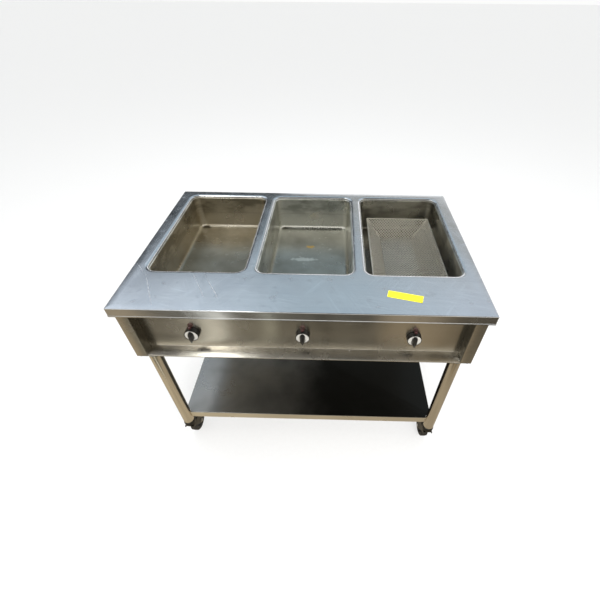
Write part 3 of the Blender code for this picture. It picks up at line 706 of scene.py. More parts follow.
def make_finishes():
    """(material, record slot) for each finish."""
    # Painted shade: the shelf's steel is coloured far darker than the body's, for the shade it lies in
    # under the unit.
    shelf = steel("shelf_steel", (0.28, 0.275, 0.265), 0.3, stain=0.6, marks=shelf_painted_shade)
    return {
        "worktop": slotted(steel, "worktop_steel", (0.66, 0.67, 0.69), 0.2, anisotropic=0.3, cloud=0.04,
                           stain=0.25, tint=(0.5, 0.54, 0.6), marks=worktop_marks),
        "body": slotted(steel, "body_steel", (0.6, 0.57, 0.51), 0.24, anisotropic=0.9, marks=inward_painted_shade),
        "shelf": (shelf, "body_steel"),
        **dict(make_liners()),
        "leg": slotted(steel, "leg_steel", (0.66, 0.61, 0.52), 0.2, (0, 0, 1)),
        "basket": slotted(plated, "basket_steel", (0.7, 0.67, 0.59), 0.33),
        # Painted reflection: the zinc of the casters, screws and bolts is coloured near black, as the real
        # plated forks look where they mirror the dark floor under the unit.
        "zinc": slotted(plated, "caster_zinc", (0.055, 0.054, 0.05), 0.34),
        "axle": slotted(plated, "axle_zinc", (0.34, 0.33, 0.31), 0.3),
        "galvanised": slotted(galvanised, "galvanised"),
        "insulation": slotted(wool, "insulation"),
        "element": slotted(oxidised, "element_sheath"),
        "control": slotted(moulded, "control_plastic", (0.03, 0.03, 0.03), 0.45),
        "brass": slotted(plated, "shaft_brass", (0.7, 0.55, 0.28), 0.35),
        "knob": slotted(moulded, "knob_plastic", (0.012, 0.012, 0.012), 0.32, Coat_Weight=0.2),
        "face": (plated("knob_face", (0.72, 0.71, 0.68), 0.42, 0), "knob_plastic"),
        "bezel": (plated("pilot_bezel", (0.3, 0.2, 0.19), 0.25, 0.8), "pilot_lens"),
        "lens": slotted(lens, "pilot_lens"),
        "gland": slotted(moulded, "gland_nylon", (0.05, 0.05, 0.05), 0.55),
        "loom": slotted(braid, "loom_sleeve"),
        "stem": slotted(moulded, "stem_insert", (0.03, 0.03, 0.03), 0.6),
        "rubber": slotted(moulded, "wheel_rubber", (0.022, 0.021, 0.02), 0.7, 0.0002),
        "hub": (moulded("wheel_hub", (0.05, 0.05, 0.05), 0.5), "wheel_rubber"),
        "label": (paper("label_paper"), "worktop_steel"),
    }


FINISH = make_finishes()


# ---- cabinet -------------------------------------------------------------
def plan_ring(low, high, corner, inset, height):
    """Rounded outline at an inset inside a box's plan, with its height."""
    size = (high.x - low.x - 2 * inset, high.y - low.y - 2 * inset)
    return rounded_rectangle(*size, corner, 6, ((low.x + high.x) / 2, (low.y + high.y) / 2)), height


def hollow_block(low, high):
    """Space inside a sheet cover that is open below."""
    below = 0.02
    return block("hollow", (low.x + SHEET, low.y + SHEET, low.z - below), high - Vector((SHEET,) * 3))


def well_outline(offset, centre, size):
    width, length = size[0] + 2 * offset, size[1] + 2 * offset
    return rounded_rectangle(width, length, WELL_CORNER + offset, 10, centre)


def well_places():
    """Name, centre and opening size of each well, read from its liner."""
    for name in WELLS:
        low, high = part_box(f"well_liner_{name}")
        size = (high.x - low.x - 2 * WELL_FLANGE, high.y - low.y - 2 * WELL_FLANGE)
        yield name, ((low.x + high.x) / 2, (low.y + high.y) / 2), size


def make_worktop():
    """Top with a slight fall to its edge, hemmed fascia and rolled lips round the wells."""
    low, high = TOP_LOW.z, TOP_HIGH.z
    shoulder = high - FALL - TOP_EDGE
    levels = [(0.0006, low), (0, low + 0.0006), (0, low + HEM - 0.001)]
    levels += [(FASCIA_SET_BACK, low + HEM), (FASCIA_SET_BACK, shoulder)]
    levels += [(FASCIA_SET_BACK + TOP_EDGE - x, shoulder + y) for x, y in arc((0, 0), TOP_EDGE, 15, 90, 6)]
    levels.append((FALL_WIDTH, high))
    top = stack("worktop_skin", [plan_ring(TOP_LOW, TOP_HIGH, 0.004, *level) for level in levels])
    top = cut(top, hollow_block(TOP_LOW, TOP_HIGH))
    for _, centre, opening in well_places():
        outer = well_outline(CUTOUT_MARGIN + ROLL_WIDTH / 2, centre, opening)
        collar = prism("collar", outer, high - CUTOUT_LIP, high - SHEET / 2)
        levels = [(CUTOUT_MARGIN, high - 2 * CUTOUT_LIP)]
        for x, y in arc((1, -1), 1, 180, 90, 10):
            levels.append((CUTOUT_MARGIN + x * ROLL_WIDTH, high + y * ROLL_DEPTH))
        levels.append((CUTOUT_MARGIN + ROLL_WIDTH, high + 0.01))
        cutter = stack("cutter", [(well_outline(offset, centre, opening), z) for offset, z in levels])
        top = cut(fuse(top, collar), cutter)
    return top


def make_liner(centre, size, rim, floor):
    """Deep-drawn pan with rolled lip, drawn corners and a coved floor."""

    def profile(thickness):
        lip = arc((WELL_LIP, rim - WELL_LIP), WELL_LIP - thickness, 90, 180, 5)
        cove = arc((-WELL_TAPER - WELL_COVE, floor + WELL_COVE), WELL_COVE + thickness, 0, -90, 9)
        return [(WELL_FLANGE, rim - thickness)] + lip + cove

    rows = profile(WELL_SHEET)[::-1] + profile(0)
    return stack("well_pan", [(well_outline(offset, centre, size), z) for offset, z in rows])


def make_side(side):
    """Side sheet folded round the front post to the control recess."""
    low, high = SIDE_LOW, SIDE_HIGH
    path = [(low.x, PANEL_FACE - 0.0005), (low.x, low.y), (high.x, low.y), (high.x, high.y)]
    path.append((high.x - REAR_FLANGE, high.y))
    shell = prism("side_skin", [(side * x, y) for x, y in folded_sheet(path)], low.z, high.z)
    near, far = sorted((side * (low.x + SHEET / 2), side * (high.x - SHEET / 2)))
    flange = block("flange", (near, low.y + SHEET / 2, low.z), (far, high.y - SHEET / 2, low.z + SHEET))
    return fuse(shell, flange)


def make_panel():
    """Control face, sloping ledge and bottom flange bent from one sheet, pierced for the controls."""
    bottom = PANEL_LOW.z
    path = [(PANEL_FACE + 0.015, PANEL_HIGH.z), (PANEL_FACE, PANEL_HIGH.z)]
    for step in range(9):
        share = step / 8
        rise = LEDGE_RISE * (1 - share ** LEDGE_CROWN)
        path.append((PANEL_FACE + (PANEL_LOW.y - PANEL_FACE) * share, bottom + LEDGE_LIP + rise))
    path += [(PANEL_LOW.y, bottom), (PANEL_HIGH.y, bottom)]
    panel = prism("panel_skin", folded_sheet(path, 0.0017), PANEL_LOW.x, PANEL_HIGH.x, "X")
    holes = []
    shaft_hole, lamp_hole = 0.0055, 0.0062
    for name in WELLS:
        x, _, z = JOINTS[f"knob_turn_{name}"]["pos_m"]
        for height, radius in ((z, shaft_hole), (centre_of(f"pilot_light_{name}").z, lamp_hole)):
            outline = circle((x, height), radius)
            holes.append(prism("hole", outline, PANEL_FACE - 0.005, PANEL_FACE + 0.007, "Y"))
    return cut(panel, *holes)


def build_cabinet():
    place("worktop_skin", make_worktop(), "worktop", replaces=["worktop"])
    for side, name in ((-1, "left"), (1, "right")):
        place(f"side_skin_{name}", make_side(side), "body", replaces=[f"side_panel_{name}"])
    place("panel_skin", make_panel(), "body", replaces=["control_panel"])
    for name, centre, size in well_places():
        low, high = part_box(f"well_liner_{name}")
        pan = make_liner(centre, size, high.z, low.z + WELL_SHEET)
        place(f"well_pan_{name}", pan, f"liner_{name}", replaces=[f"well_liner_{name}"])


def screw_head(radius=0.0042, height=0.0022):
    """Round head with a cross slot; its seat is z = 0 and it stands along +Z."""
    eased, slot = radius * 0.35, 0.0009
    profile = [(0, 0), (radius, 0), (radius, height * 0.35)]
    profile += arc((eased, height * 0.35), radius * 0.65, 20, 75, 4)[:3] + [(eased, height), (0, height)]
    slots = []
    for width, length in ((slot, radius * 1.1), (radius * 1.1, slot)):
        low = (-width / 2, -length / 2, height * 0.5)
        slots.append(block("slot", low, (width / 2, length / 2, height * 2)))
    return cut(lathe("screw", profile, segments=24), *slots)


def bolt_head(across_flats=0.01, height=0.0035):
    """Hexagon head with a chamfered top on a round washer, seat at z = 0 and top along +Z."""
    washer = lathe("washer", [(0, 0), (across_flats * 0.8, 0), (across_flats * 0.8, 0.0008), (0, 0.0008)])
    levels = []
    for shrink, along in ((0, 0.0007), (0, height - 0.0007), (0.0008, height)):
        levels.append((circle((0, 0), (across_flats - shrink) / math.sqrt(3), 6), along))
    return joined("bolt", [(washer, Matrix()), (stack("head", levels), Matrix())])


def spaced(start, end, count):
    return [start + (end - start) * index / (count - 1) for index in range(count)]


def build_fasteners():
    """Screws along the back and bottom sheets, and the bolts that hold the leg gussets."""
    screw, bolt = screw_head(), bolt_head()
    backward, downward = spin(-90, "X"), spin(180, "X")
    margin, bolt_inset = 0.02, 0.007
    columns = spaced(BACK_LOW.x + margin, BACK_HIGH.x - margin, 7)
    rows = (BACK_LOW.z + 0.014, BACK_HIGH.z - 0.045)
    heads = [(screw, at(x, BACK_HIGH.y, z) @ backward) for z in rows for x in columns]
    place("back_screws", joined("back_screws", heads), "zinc")
    columns = spaced(PAN_LOW.x * 0.86, PAN_HIGH.x * 0.86, 5)
    rows = (PAN_LOW.y + 0.015, PAN_HIGH.y - 0.015)
    heads = [(screw, at(x, y, PAN_LOW.z) @ downward) for y in rows for x in columns]
    place("pan_screws", joined("pan_screws", heads), "zinc")
    for leg in LEGS:
        low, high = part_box(f"leg_gusset_{leg}")
        middle = (low + high) / 2
        reach = (high.x - low.x) / 2 - bolt_inset
        heads = []
        for sx, sy in CORNERS:
            where = at(middle.x + sx * reach, middle.y + sy * reach, high.z - GUSSET_THICKNESS)
            heads.append((bolt, where @ downward))
        place(f"gusset_bolts_{leg}", joined("gusset_bolts", heads), "zinc")


def build_sticker():
    """Blank price sticker on the front of the worktop, one end a little lifted."""
    length, width, thickness = 0.1035, 0.03, 0.00012
    lift_starts, place_x, place_y, turned_by = 0.36, 0.3055, -0.294, -14
    rings = []
    for u in spaced(-0.5, 0.5, 25):
        lift = 0.0002 + 0.0016 * max(0, (u - lift_starts) / (0.5 - lift_starts)) ** 2
        half = width / 2 * (1 if abs(u) < 0.5 else 0.94)
        section = ((-half, 0), (half, 0), (half, thickness), (-half, thickness))
        rings.append([(u * length, v, lift + h) for v, h in section])
    where = at(place_x, place_y, TOP_HIGH.z) @ spin(turned_by, "Z")
    place("blank_sticker", loft("sticker", rings), "label", matrix=where)


# ---- controls ------------------------------------------------------------
def pointed_bar(half_width, tip, tail):
    """Plan of the knob's grip: straight-sided, drawn to a point at -Y and rounded at +Y."""
    shoulder = tip * 0.42
    crown_foot = tail - half_width * 1.6
    right = [(0.0006, -tip), (half_width * 0.55, -(tip + shoulder) / 2 + 0.0006), (half_width, -shoulder)]
    right += [(x, crown_foot + y * 1.6) for x, y in arc((0, 0), half_width, 0, 90, 5)]
    return right + [(-x, y) for x, y in right[::-1] if x > 1e-6]


def make_knob_pieces():
    """Skirt, face plate, grip, pointer line and dial ticks; +Z is out of the panel, pointer at -Y."""
    rim, edge, shaft = KNOB_RIM, 0.0009, 0.006
    skirt = [(shaft, KNOB_FOOT), (KNOB_RADIUS - 0.0006, KNOB_FOOT), (KNOB_RADIUS, KNOB_FOOT + 0.0006)]
    skirt += [(KNOB_RADIUS, KNOB_FOOT + 0.003), (KNOB_RADIUS - 0.0005, KNOB_FOOT + 0.0042)]
    skirt += arc((KNOB_RADIUS - 0.0009 - edge, rim - edge), edge, 0, 180, 8)
    skirt += [(KNOB_RADIUS - 0.0009 - 2 * edge, rim - 0.0012), (shaft, rim - 0.0012)]
    plate_radius, plate_top = KNOB_RADIUS - 0.0011 - 2 * edge, rim - 0.0006
    plate = [(0.003, rim - 0.0011), (plate_radius, rim - 0.0011), (plate_radius, plate_top - 0.0002)]
    plate += [(plate_radius - 0.0003, plate_top), (0.003, plate_top)]
    levels = (
        (rim - 0.001, 0.0092, 0), (rim + 0.003, 0.0082, 0.0003), (KNOB_TOP - 0.0014, 0.0062, 0.001),
        (KNOB_TOP - 0.0004, 0.0052, 0.0014), (KNOB_TOP, 0.0042, 0.0022),
    )
    grip = []
    for height, half_width, shrink in levels:
        outline = pointed_bar(half_width, 0.0222 - shrink, 0.019 - shrink)
        grip.append([(x, y, height) for x, y in outline])
    line = block("line", (-0.0005, -0.0186, KNOB_TOP - 0.0004), (0.0005, -0.003, KNOB_TOP + 0.0001))
    ticks = []
    for index in range(11):
        long = 0.003 if index % 5 == 0 else 0.0018
        low = (-0.0003, 0.0008 - plate_radius, plate_top - 0.0002)
        tick = block("tick", low, (0.0003, low[1] + long, plate_top + 0.0001))
        ticks.append((tick, spin(30 * index, "Z")))
    return {
        "skirt": (lathe("knob_skirt", skirt, segments=72), "knob"),
        "plate": (lathe("knob_plate", plate, segments=72), "face"),
        "grip": (loft("knob_grip", grip, smooth_angle=40), "knob"),
        "pointer": (line, "hub"),
        "ticks": (joined("knob_ticks", ticks), "knob"),
    }


def make_pilot_pieces():
    """Bezel and domed lens; +Z is out of the panel."""
    bezel = [(0.0058, GAP), (0.0082, GAP), (0.0086, GAP + 0.0005)] + arc((0.0076, 0.0018), 0.001, 0, 90, 5)
    bezel += [(0.0066, 0.0031), (0.0062, 0.0026), (0.0058, 0.002)]
    dome = 0.006
    glass = [(0, GAP), (dome, GAP), (dome, PILOT_PROUD - dome)]
    glass += arc((0, PILOT_PROUD - dome), dome, 8, 82, 9) + [(0, PILOT_PROUD)]
    return {"bezel": (lathe("pilot_bezel", bezel), "bezel"), "lens": (lathe("pilot_lens", glass), "lens")}


def build_controls():
    knob, pilot = make_knob_pieces(), make_pilot_pieces()
    outward = spin(90, "X")
    for well in WELLS:
        x, y, z = JOINTS[f"knob_turn_{well}"]["pos_m"]
        for part, (mesh, finish) in knob.items():
            node_name = [f"knob_{well}"] if part == "skirt" else []
            matrix = at(x, y, z) @ outward
            place(f"knob_{part}_{well}", mesh, finish, f"knob_{well}", node_name, matrix)
        middle = centre_of(f"pilot_light_{well}")
        for part, (mesh, finish) in pilot.items():
            node_name = [f"pilot_light_{well}"] if part == "bezel" else []
            matrix = at(middle.x, y, middle.z) @ outward
            place(f"pilot_{part}_{well}", mesh, finish, "cabinet", node_name, matrix)


# ---- stand ---------------------------------------------------------------
def make_undershelf():
    """Shelf with rounded, turned-down edges, notched round the legs."""
    low, high = SHELF_LOW, SHELF_HIGH
    edge = 0.0025
    levels = [(0.0005, low.z), (0, low.z + 0.0005)]
    levels += [(edge - x, high.z - edge + y) for x, y in arc((0, 0), edge, 0, 90, 6)]
    shelf = stack("undershelf_skin", [plan_ring(low, high, SHELF_CORNER, *level) for level in levels])
    cutters = [hollow_block(low, high)]
    for leg in LEGS:
        leg_low, leg_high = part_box(f"leg_{leg}")
        radius = (leg_high.x - leg_low.x) / 2 + 0.0006
        outline = circle(centre_of(f"leg_{leg}"), radius, 60)
        cutters.append(prism("notch", outline, low.z - 0.02, high.z + 0.02))
    return cut(shelf, *cutters)


def make_leg(length, radius):
    """Round tube with eased ends, z = 0 at its lower end."""
    ease, inner = 0.0005, radius - LEG_WALL
    profile = [(inner, 0), (radius - ease, 0), (radius, ease), (radius, length - ease)]
    return lathe("leg_tube", profile + [(radius - ease, length), (inner, length)], segments=72)


def build_stand():
    place("undershelf_skin", make_undershelf(), "shelf", replaces=["undershelf"])
    for leg in LEGS:
        low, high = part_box(f"leg_{leg}")
        tube = make_leg(high.z - low.z, (high.x - low.x) / 2)
        matrix = at((low.x + high.x) / 2, (low.y + high.y) / 2, low.z)
        place(f"leg_tube_{leg}", tube, "leg", replaces=[f"leg_{leg}"], matrix=matrix)


# ---- casters: local frame on the swivel axis at floor level, trailing to +Y ----
def make_caster_head():
    """Domed swivel head: upper and lower raceway cups with the seam between them."""
    seam, bore = HEAD_TOP - 0.0105, 0.0068
    foot = 2 * WHEEL_RADIUS + BRIDGE_CLEARANCE + BRIDGE_THICKNESS - 0.0008
    profile = [(bore, HEAD_TOP), (HEAD_RADIUS - 0.0065, HEAD_TOP)]
    profile += arc((HEAD_RADIUS - 0.0065, HEAD_TOP - 0.0065), 0.0065, 80, 10, 6)
    profile += [(HEAD_RADIUS, seam + 0.001), (HEAD_RADIUS - 0.0014, seam + 0.0006)]
    profile += [(HEAD_RADIUS - 0.0014, seam - 0.0006), (HEAD_RADIUS - 0.0002, seam - 0.001)]
    profile += arc((HEAD_RADIUS - 0.0052, seam - 0.006), 0.005, 0, -60, 4)
    profile += [(HEAD_RADIUS - 0.006, foot), (bore, foot)]
    return lathe("caster_head", profile, segments=72)


def make_caster_yoke(trail):
    """Fork pressed from one strap: bridge, round bends and two side plates down to the axle."""
    bottom = 2 * WHEEL_RADIUS + BRIDGE_CLEARANCE
    top = bottom + BRIDGE_THICKNESS
    outer = FORK_INNER + FORK_PLATE
    front, back = -0.019, trail - 0.004
    path = [(outer, 0), (outer, top), (-outer, top), (-outer, 0)]
    strap = prism("strap", folded_sheet(path, 0.0042, FORK_PLATE, 6), front, back + 0.02, "Y")
    boss = arc((trail, WHEEL_RADIUS), FORK_BOSS, 25, -150, 16)
    waist = [(0.002, bottom - 0.018), (-0.01, bottom - 0.009), (front, bottom - 0.005)]
    side = [(back, top + 0.001)] + boss + waist + [(front, top + 0.001)]
    blank = prism("blank", side, -outer - 0.001, outer + 0.001, "X")
    hole = circle((trail, WHEEL_RADIUS), AXLE_RADIUS + GAP)
    return cut(combine(strap, [blank], "INTERSECT"), prism("hole", hole, -outer - 0.01, outer + 0.01, "X"))


def make_caster_bolt():
    """Axle bolt with a hexagon head at one end and a nut at the other; its axis is X."""
    inside = FORK_INNER + FORK_PLATE + GAP
    shank = lathe("shank", [(0, -inside), (AXLE_RADIUS, -inside), (AXLE_RADIUS, inside), (0, inside)], "X")
    head = bolt_head(0.0115, 0.0038)
    ends = [(head, at(side * inside, 0) @ spin(90 * side, "Y")) for side in (-1, 1)]
    return joined("caster_bolt", [(shank, Matrix())] + ends)


def make_caster_wheel():
    """Moulded hub with five ribs on each side, and the rubber tread round it; the axis is X."""
    hub, half = FORK_INNER - 0.0012, WHEEL_HALF_WIDTH
    rim_inner, rim_outer = WHEEL_RADIUS - 0.015, WHEEL_RADIUS - 0.0115
    web = 0.0045
    profile = [(AXLE_RADIUS + 0.0004, hub), (0.012, hub), (0.0126, hub - 0.0006), (0.014, web)]
    profile += [(rim_inner, web), (rim_inner + 0.0006, half - 0.002), (rim_outer, half - 0.002)]
    profile += [(radius, -along) for radius, along in profile[::-1]]
    rib = block("rib", (web - half, 0.0115, -0.0012), (half - web, rim_inner + 0.0003, 0.0012))
    pieces = [(lathe("hub", profile, "X", 72), Matrix())]
    pieces += [(rib, spin(72 * index, "X")) for index in range(5)]
    crown = WHEEL_RADIUS - 0.0047
    tread = [(rim_outer - 0.0002, half - 0.0012), (rim_outer + 0.001, half), (crown, half)]
    tread += arc((crown, half - 0.004), 0.004, 75, 25, 4)
    tread += [(WHEEL_RADIUS - 0.0004, half * 0.45), (WHEEL_RADIUS, 0)]
    tread += [(radius, -along) for radius, along in tread[-2::-1]]
    return joined("wheel_hub", pieces), lathe("wheel_tread", tread, "X", 96)


def build_casters():
    head, bolt = make_caster_head(), make_caster_bolt()
    hub, tread = make_caster_wheel()
    for leg in LEGS:
        pivot = Vector(JOINTS[f"swivel_{leg}"]["pos_m"]).to_2d()
        axle = JOINTS[f"roll_{leg}"]
        yoke = make_caster_yoke((Vector(axle["pos_m"]).to_2d() - pivot).length)
        turn = Matrix.Rotation(math.atan2(axle["axis"][1], axle["axis"][0]), 4, "Z")
        swivel, wheel = at(*pivot) @ turn, at(*axle["pos_m"]) @ turn
        body, roller = f"caster_{leg}", f"wheel_{leg}"
        place(f"caster_head_{leg}", head, "zinc", body, [], swivel)
        place(f"caster_yoke_{leg}", yoke, "zinc", body, [f"caster_fork_{leg}"], swivel)
        place(f"caster_bolt_{leg}", bolt, "axle", body, [f"caster_axle_{leg}"], wheel)
        place(f"wheel_hub_{leg}", hub, "hub", roller, [], wheel)
        place(f"wheel_tread_{leg}", tread, "rubber", roller, [f"caster_wheel_{leg}"], wheel)


# ---- carried-over CAD nodes ----------------------------------------------
def finish_nodes():
    """Give each CAD node that still shows its finish."""
    finishes = {
        "back_panel": "galvanised", "bottom_pan": "galvanised", "terminal_block": "control",
        "cord_gland": "gland", "wire_loom": "loom",
    }
    inside = {"well_jacket": "insulation", "heating_element": "element", "element_tray": "galvanised",
              "thermostat": "control", "control_shaft": "brass"}
    outside = {"leg_gusset": "galvanised", "caster_stem": "stem"}
    for kinds, ends in ((inside, WELLS), (outside, LEGS)):
        finishes.update({f"{kind}_{end}": finish for kind, finish in kinds.items() for end in ends})
    for name, finish in finishes.items():
        mesh = frame["nodes"][name].data
        for index in range(len(mesh.materials)):
            mesh.materials[index] = FINISH[finish][0]


# ---- basket --------------------------------------------------------------
def basket_panels():
    """Corners of each panel in the unfolded blank, with the origin and axes that fold it into place.

    The base is the middle of the blank, so wires run on over each fold.
    """
    middle = (BASKET_LOW + BASKET_HIGH) / 2
    origin = Vector((middle.x, middle.y, BASKET_LOW.z + 3 * WIRE))
    rim = [(BASKET_HIGH[axis] - BASKET_LOW[axis]) / 2 - 2 * WIRE for axis in (0, 1)]
    base = [side / 2 for side in BASKET_BASE]
    rise = BASKET_HIGH.z - 2 * WIRE - origin.z
    floor = [(-base[0], -base[1]), (base[0], -base[1]), (base[0], base[1]), (-base[0], base[1])]
    yield floor, origin, Vector((1, 0, 0)), Vector((0, 1, 0))
    for axis, across in ((0, 1), (1, 0)):
        run = rim[axis] - base[axis]
        slope = math.hypot(run, rise)
        for sign in (-1, 1):
            corners = []
            fold, lip = (0, base[across]), (slope, rim[across])
            for (out, half_width), end in ((fold, -1), (lip, -1), (lip, 1), (fold, 1)):
                point = {axis: sign * (base[axis] + out), across: end * half_width}
                corners.append((point[0], point[1]))
            outward = Vector((0, 0, rise / slope))
            outward[axis] = sign * run / slope
            start = origin - outward * base[axis]
            start[axis] += sign * base[axis]
            along = Vector((0, 0, 0))
            along[across] = 1
            axes = {axis: outward * sign, across: along}
            yield corners, start, axes[0], axes[1]


def clip(foot, heading, corners):
    """Where a line through foot enters and leaves a convex outline, as distances along it, or None."""
    far, shortest = 1, 0.002
    hits = []
    for first, second in zip(corners, corners[1:] + corners[:1]):
        hit = intersect_line_line_2d(foot - far * heading, foot + far * heading, first, second)
        if hit:
            hits.append((hit - foot).dot(heading))
    return (min(hits), max(hits)) if hits and max(hits) - min(hits) > shortest else None


def woven_wires(corners, start, across, along):
    """Paths of the wires of one panel: two diagonal families that pass over and under each other."""
    normal = across.cross(along).normalized()
    lines, shortest = 40, 0.0005
    for family, slant in enumerate((1, -1)):
        heading = Vector((1, slant)).normalized()
        for line in range(-lines, lines + 1):
            offset = (line + 0.5) * WIRE_PITCH
            foot = heading.orthogonal() * offset
            span = clip(foot, heading, corners)
            if span is None:
                continue
            first = math.ceil(span[0] / WIRE_PITCH - 0.5)
            last = math.floor(span[1] / WIRE_PITCH - 0.5)
            stops = [span[0]] + [(k + 0.5) * WIRE_PITCH for k in range(first, last + 1)] + [span[1]]
            path = []
            for k, stop in enumerate(stops):
                over = 1 if (first + k - 1 + line + family) % 2 else -1
                lift = 0 if k in (0, len(stops) - 1) else over * WIRE_LIFT
                flat = foot + heading * stop
                point = start + across * flat.x + along * flat.y + normal * lift
                if not path or (point - path[-1]).length > shortest:
                    path.append(point)
            if len(path) > 1:
                yield path


def make_basket():
    """Wire cloth woven on the diagonal, a rim wire and a wire up each corner."""
    paths = [(path, WIRE, False) for panel in basket_panels() for path in woven_wires(*panel)]
    middle = (BASKET_LOW + BASKET_HIGH) / 2
    size = [BASKET_HIGH[axis] - BASKET_LOW[axis] - 4 * WIRE for axis in (0, 1)]
    rim_z = BASKET_HIGH.z - 2 * WIRE
    rim = [(x, y, rim_z) for x, y in rounded_rectangle(*size, 0.004, 4, (middle.x, middle.y))]
    paths.append((rim, RIM_WIRE, True))
    for sx, sy in CORNERS:
        foot = (middle.x + sx * BASKET_BASE[0] / 2, middle.y + sy * BASKET_BASE[1] / 2)
        head = (middle.x + sx * (size[0] / 2 - 0.001), middle.y + sy * (size[1] / 2 - 0.001))
        paths.append(([(*foot, BASKET_LOW.z + 3 * WIRE), (*head, rim_z)], CORNER_WIRE, False))
    return tubes("wire_basket", paths)


# ---- stage ---------------------------------------------------------------
def make_camera():
    """Camera standing at the operator's side, above the unit and looking down into the wells."""
    data = bpy.data.cameras.new("camera")
    data.lens = 21.215
    data.shift_x = -0.0444
    data.shift_y = 0.0263
    place_x, before_front, above_top = 0.0878, 0.7127, 0.6874
    yaw, look_down, roll = 1.043, 44.287, 0.492
    camera = show("camera", data)
    where = at(place_x, TOP_LOW.y - before_front, TOP_HIGH.z + above_top)
    camera.matrix_world = where @ spin(yaw, "Z") @ spin(90 - look_down, "X") @ spin(roll, "Z")
    bpy.context.scene.camera = camera


def reflected_floor(where):
    """The floor as the steel sees it: tan tiles near the unit, then a dim floor with streaks of light.

    The streaks fan out from the point below which the front panel mirrors the camera, so that the
    brushed front shows them as upright bands; each stop is given by its place along the panel.
    """
    dim, dark, tan = (0.14, 0.128, 0.1), (0.1, 0.085, 0.06), (0.42, 0.34, 0.23)
    lamp, faint = (1.1, 1.08, 0.96), (0.46, 0.45, 0.36)
    x, y, _ = split(where)
    eye_x, eye_y, eye_to_panel = 0.088, 0.417, 0.752
    lean = math_node("DIVIDE", x - eye_x, math_node("SUBTRACT", eye_y, y))
    streaks = ramp(
        lean * eye_to_panel + eye_x,
        (-0.7, tan), (-0.52, tan), (-0.46, dim), (-0.312, dim), (-0.298, lamp), (-0.238, lamp),
        (-0.224, scaled(dim, 1.3)), (-0.122, scaled(dim, 1.2)), (-0.112, faint), (-0.088, faint),
        (-0.076, scaled(dim, 1.1)), (0.045, scaled(dim, 0.95)), (0.052, scaled(dim, 0.7)),
        (0.085, scaled(dim, 0.7)), (0.095, dim), (0.155, dim), (0.165, scaled(dim, 0.75)),
        (0.225, scaled(dim, 0.8)), (0.25, scaled(tan, 0.7)), (0.33, tan), (0.42, scaled(tan, 0.7)),
        (0.5, dark), (0.7, dark),
    )
    near = ramp(x, (-0.8, (0.62, 0.54, 0.4)), (0.1, (0.5, 0.43, 0.32)), (0.8, (0.42, 0.36, 0.27)))
    colour = blend(spread(y, -0.84, -0.72), streaks, near)
    mottle = spread(noise(where, 4, 4), 0.3, 0.7, 0.85, 1.1)
    return node("Emission", {"Color": colour, "Strength": mottle})


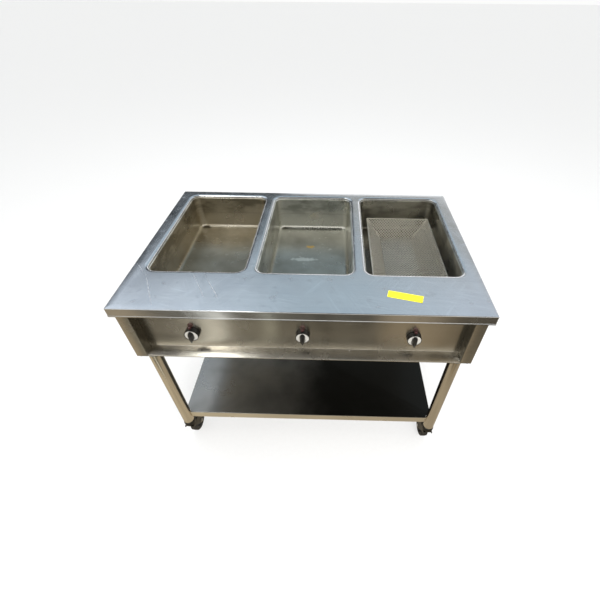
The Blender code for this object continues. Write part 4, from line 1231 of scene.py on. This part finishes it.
def make_floor():
    """Plain pale floor; reflections and bounced light see it as the warm floor of a kitchen."""
    material = bpy.data.materials.new("floor")
    material.use_nodes = True
    tree = material.node_tree
    tree.nodes.clear()
    where = source(tree, "TexCoord", "Object")
    pale = blend(spread(noise(where, 60, 5), 0.3, 0.7), (0.86, 0.86, 0.86), (0.9, 0.9, 0.9))
    matt = node("BsdfDiffuse", {"Color": pale})
    glow_share = 0.6
    seen = node("MixShader", {0: glow_share, 1: matt, 2: source(tree, "Emission", 0)})
    camera_ray = source(tree, "LightPath", "Is Camera Ray")
    mixed = node("MixShader", {0: camera_ray, 1: reflected_floor(where), 2: seen})
    add_node(tree, "OutputMaterial", {"Surface": mixed})
    form = bmesh.new()
    bmesh.ops.create_grid(form, x_segments=8, y_segments=8, size=30)
    mesh = bpy.data.meshes.new("floor")
    form.to_mesh(mesh)
    form.free()
    mesh.materials.append(material)
    floor = show("floor", mesh)
    floor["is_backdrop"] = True


def make_world():
    """Pale room; its reflections are bright low at the back, dim above that, cool and bright overhead."""
    world = bpy.data.worlds.new("room")
    world.use_nodes = True
    tree = world.node_tree
    tree.nodes.clear()
    x, y, z = split(source(tree, "TexCoord", "Generated"))
    grey, shaded, bright = (0.44, 0.44, 0.42), (0.05, 0.055, 0.055), (1.6, 1.62, 1.64)
    wall = ramp(x, (-0.6, (0.04, 0.045, 0.05)), (-0.15, shaded), (0.05, (0.4, 0.41, 0.39)), (0.6, grey))
    top_edge = spread(x, -0.2, -0.08, -0.12, -0.31)
    wall = blend(spread(z + top_edge, 0, 0.07), bright, wall)
    middle = (0.52, 0.64, 0.72)
    ceiling = ramp(x, (-0.6, (1, 1.1, 1.22)), (-0.1, middle), (0.1, middle), (0.5, (0.78, 0.86, 0.96)))
    back = blend(spread(z, 0.51, 0.56), wall, ceiling)
    cool, lamp, dim, tan = (0.1, 0.1, 0.1), (6, 6, 5.8), (0.08, 0.08, 0.075), (0.2, 0.16, 0.1)
    over = ramp(x, (-0.6, cool), (-0.35, cool), (-0.332, lamp), (-0.264, lamp), (-0.246, dim),
                (0, scaled(dim, 0.8)), (0.1, scaled(dim, 0.5)), (0.25, tan), (0.6, tan))
    front = blend(spread(z, 0.25, 0.5), (0.28, 0.25, 0.19), (1.5, 1.48, 1.4))
    front = blend(spread(z, 0.7, 0.8), front, over)
    room = blend(spread(y, -0.15, 0.1), front, back)
    room = blend(spread(z, 0.84, 0.92), room, over)
    seen = blend(source(tree, "LightPath", "Is Camera Ray"), room, (0.98, 0.98, 0.98))
    add_node(tree, "OutputWorld", {"Surface": node("Background", {"Color": seen})})
    bpy.context.scene.world = world


def make_light(name, position, size, power, colour):
    """Rectangular soft light on the unit that neither the camera nor a reflection sees."""
    data = bpy.data.lights.new(name, "AREA")
    data.shape = "RECTANGLE"
    data.size, data.size_y = size
    data.energy = power
    data.color = colour
    light = show(name, data)
    light.location = position
    heading = Vector((0, 0, 0.6)) - Vector(position)
    light.rotation_euler = heading.to_track_quat("-Z", "Y").to_euler()
    light.visible_camera = False
    light.visible_glossy = False


def build_stage():
    make_camera()
    make_floor()
    make_world()
    make_light("overhead", (0.1, 0.5, 3.2), (3.2, 2.6), 90, (0.98, 0.99, 1))
    make_light("front_fill", (0.9, -2.6, 2.2), (1.6, 1.2), 70, (1, 0.99, 0.97))
    bpy.context.scene.view_settings.view_transform = "Standard"


build_stage()
build_cabinet()
build_fasteners()
build_sticker()
build_controls()
build_stand()
build_casters()
finish_nodes()
place("wire_basket", make_basket(), "basket", "basket", ["mesh_basket"])

sizes = [[list(corner) for corner in box] for box in (CAD_BOX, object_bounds())]
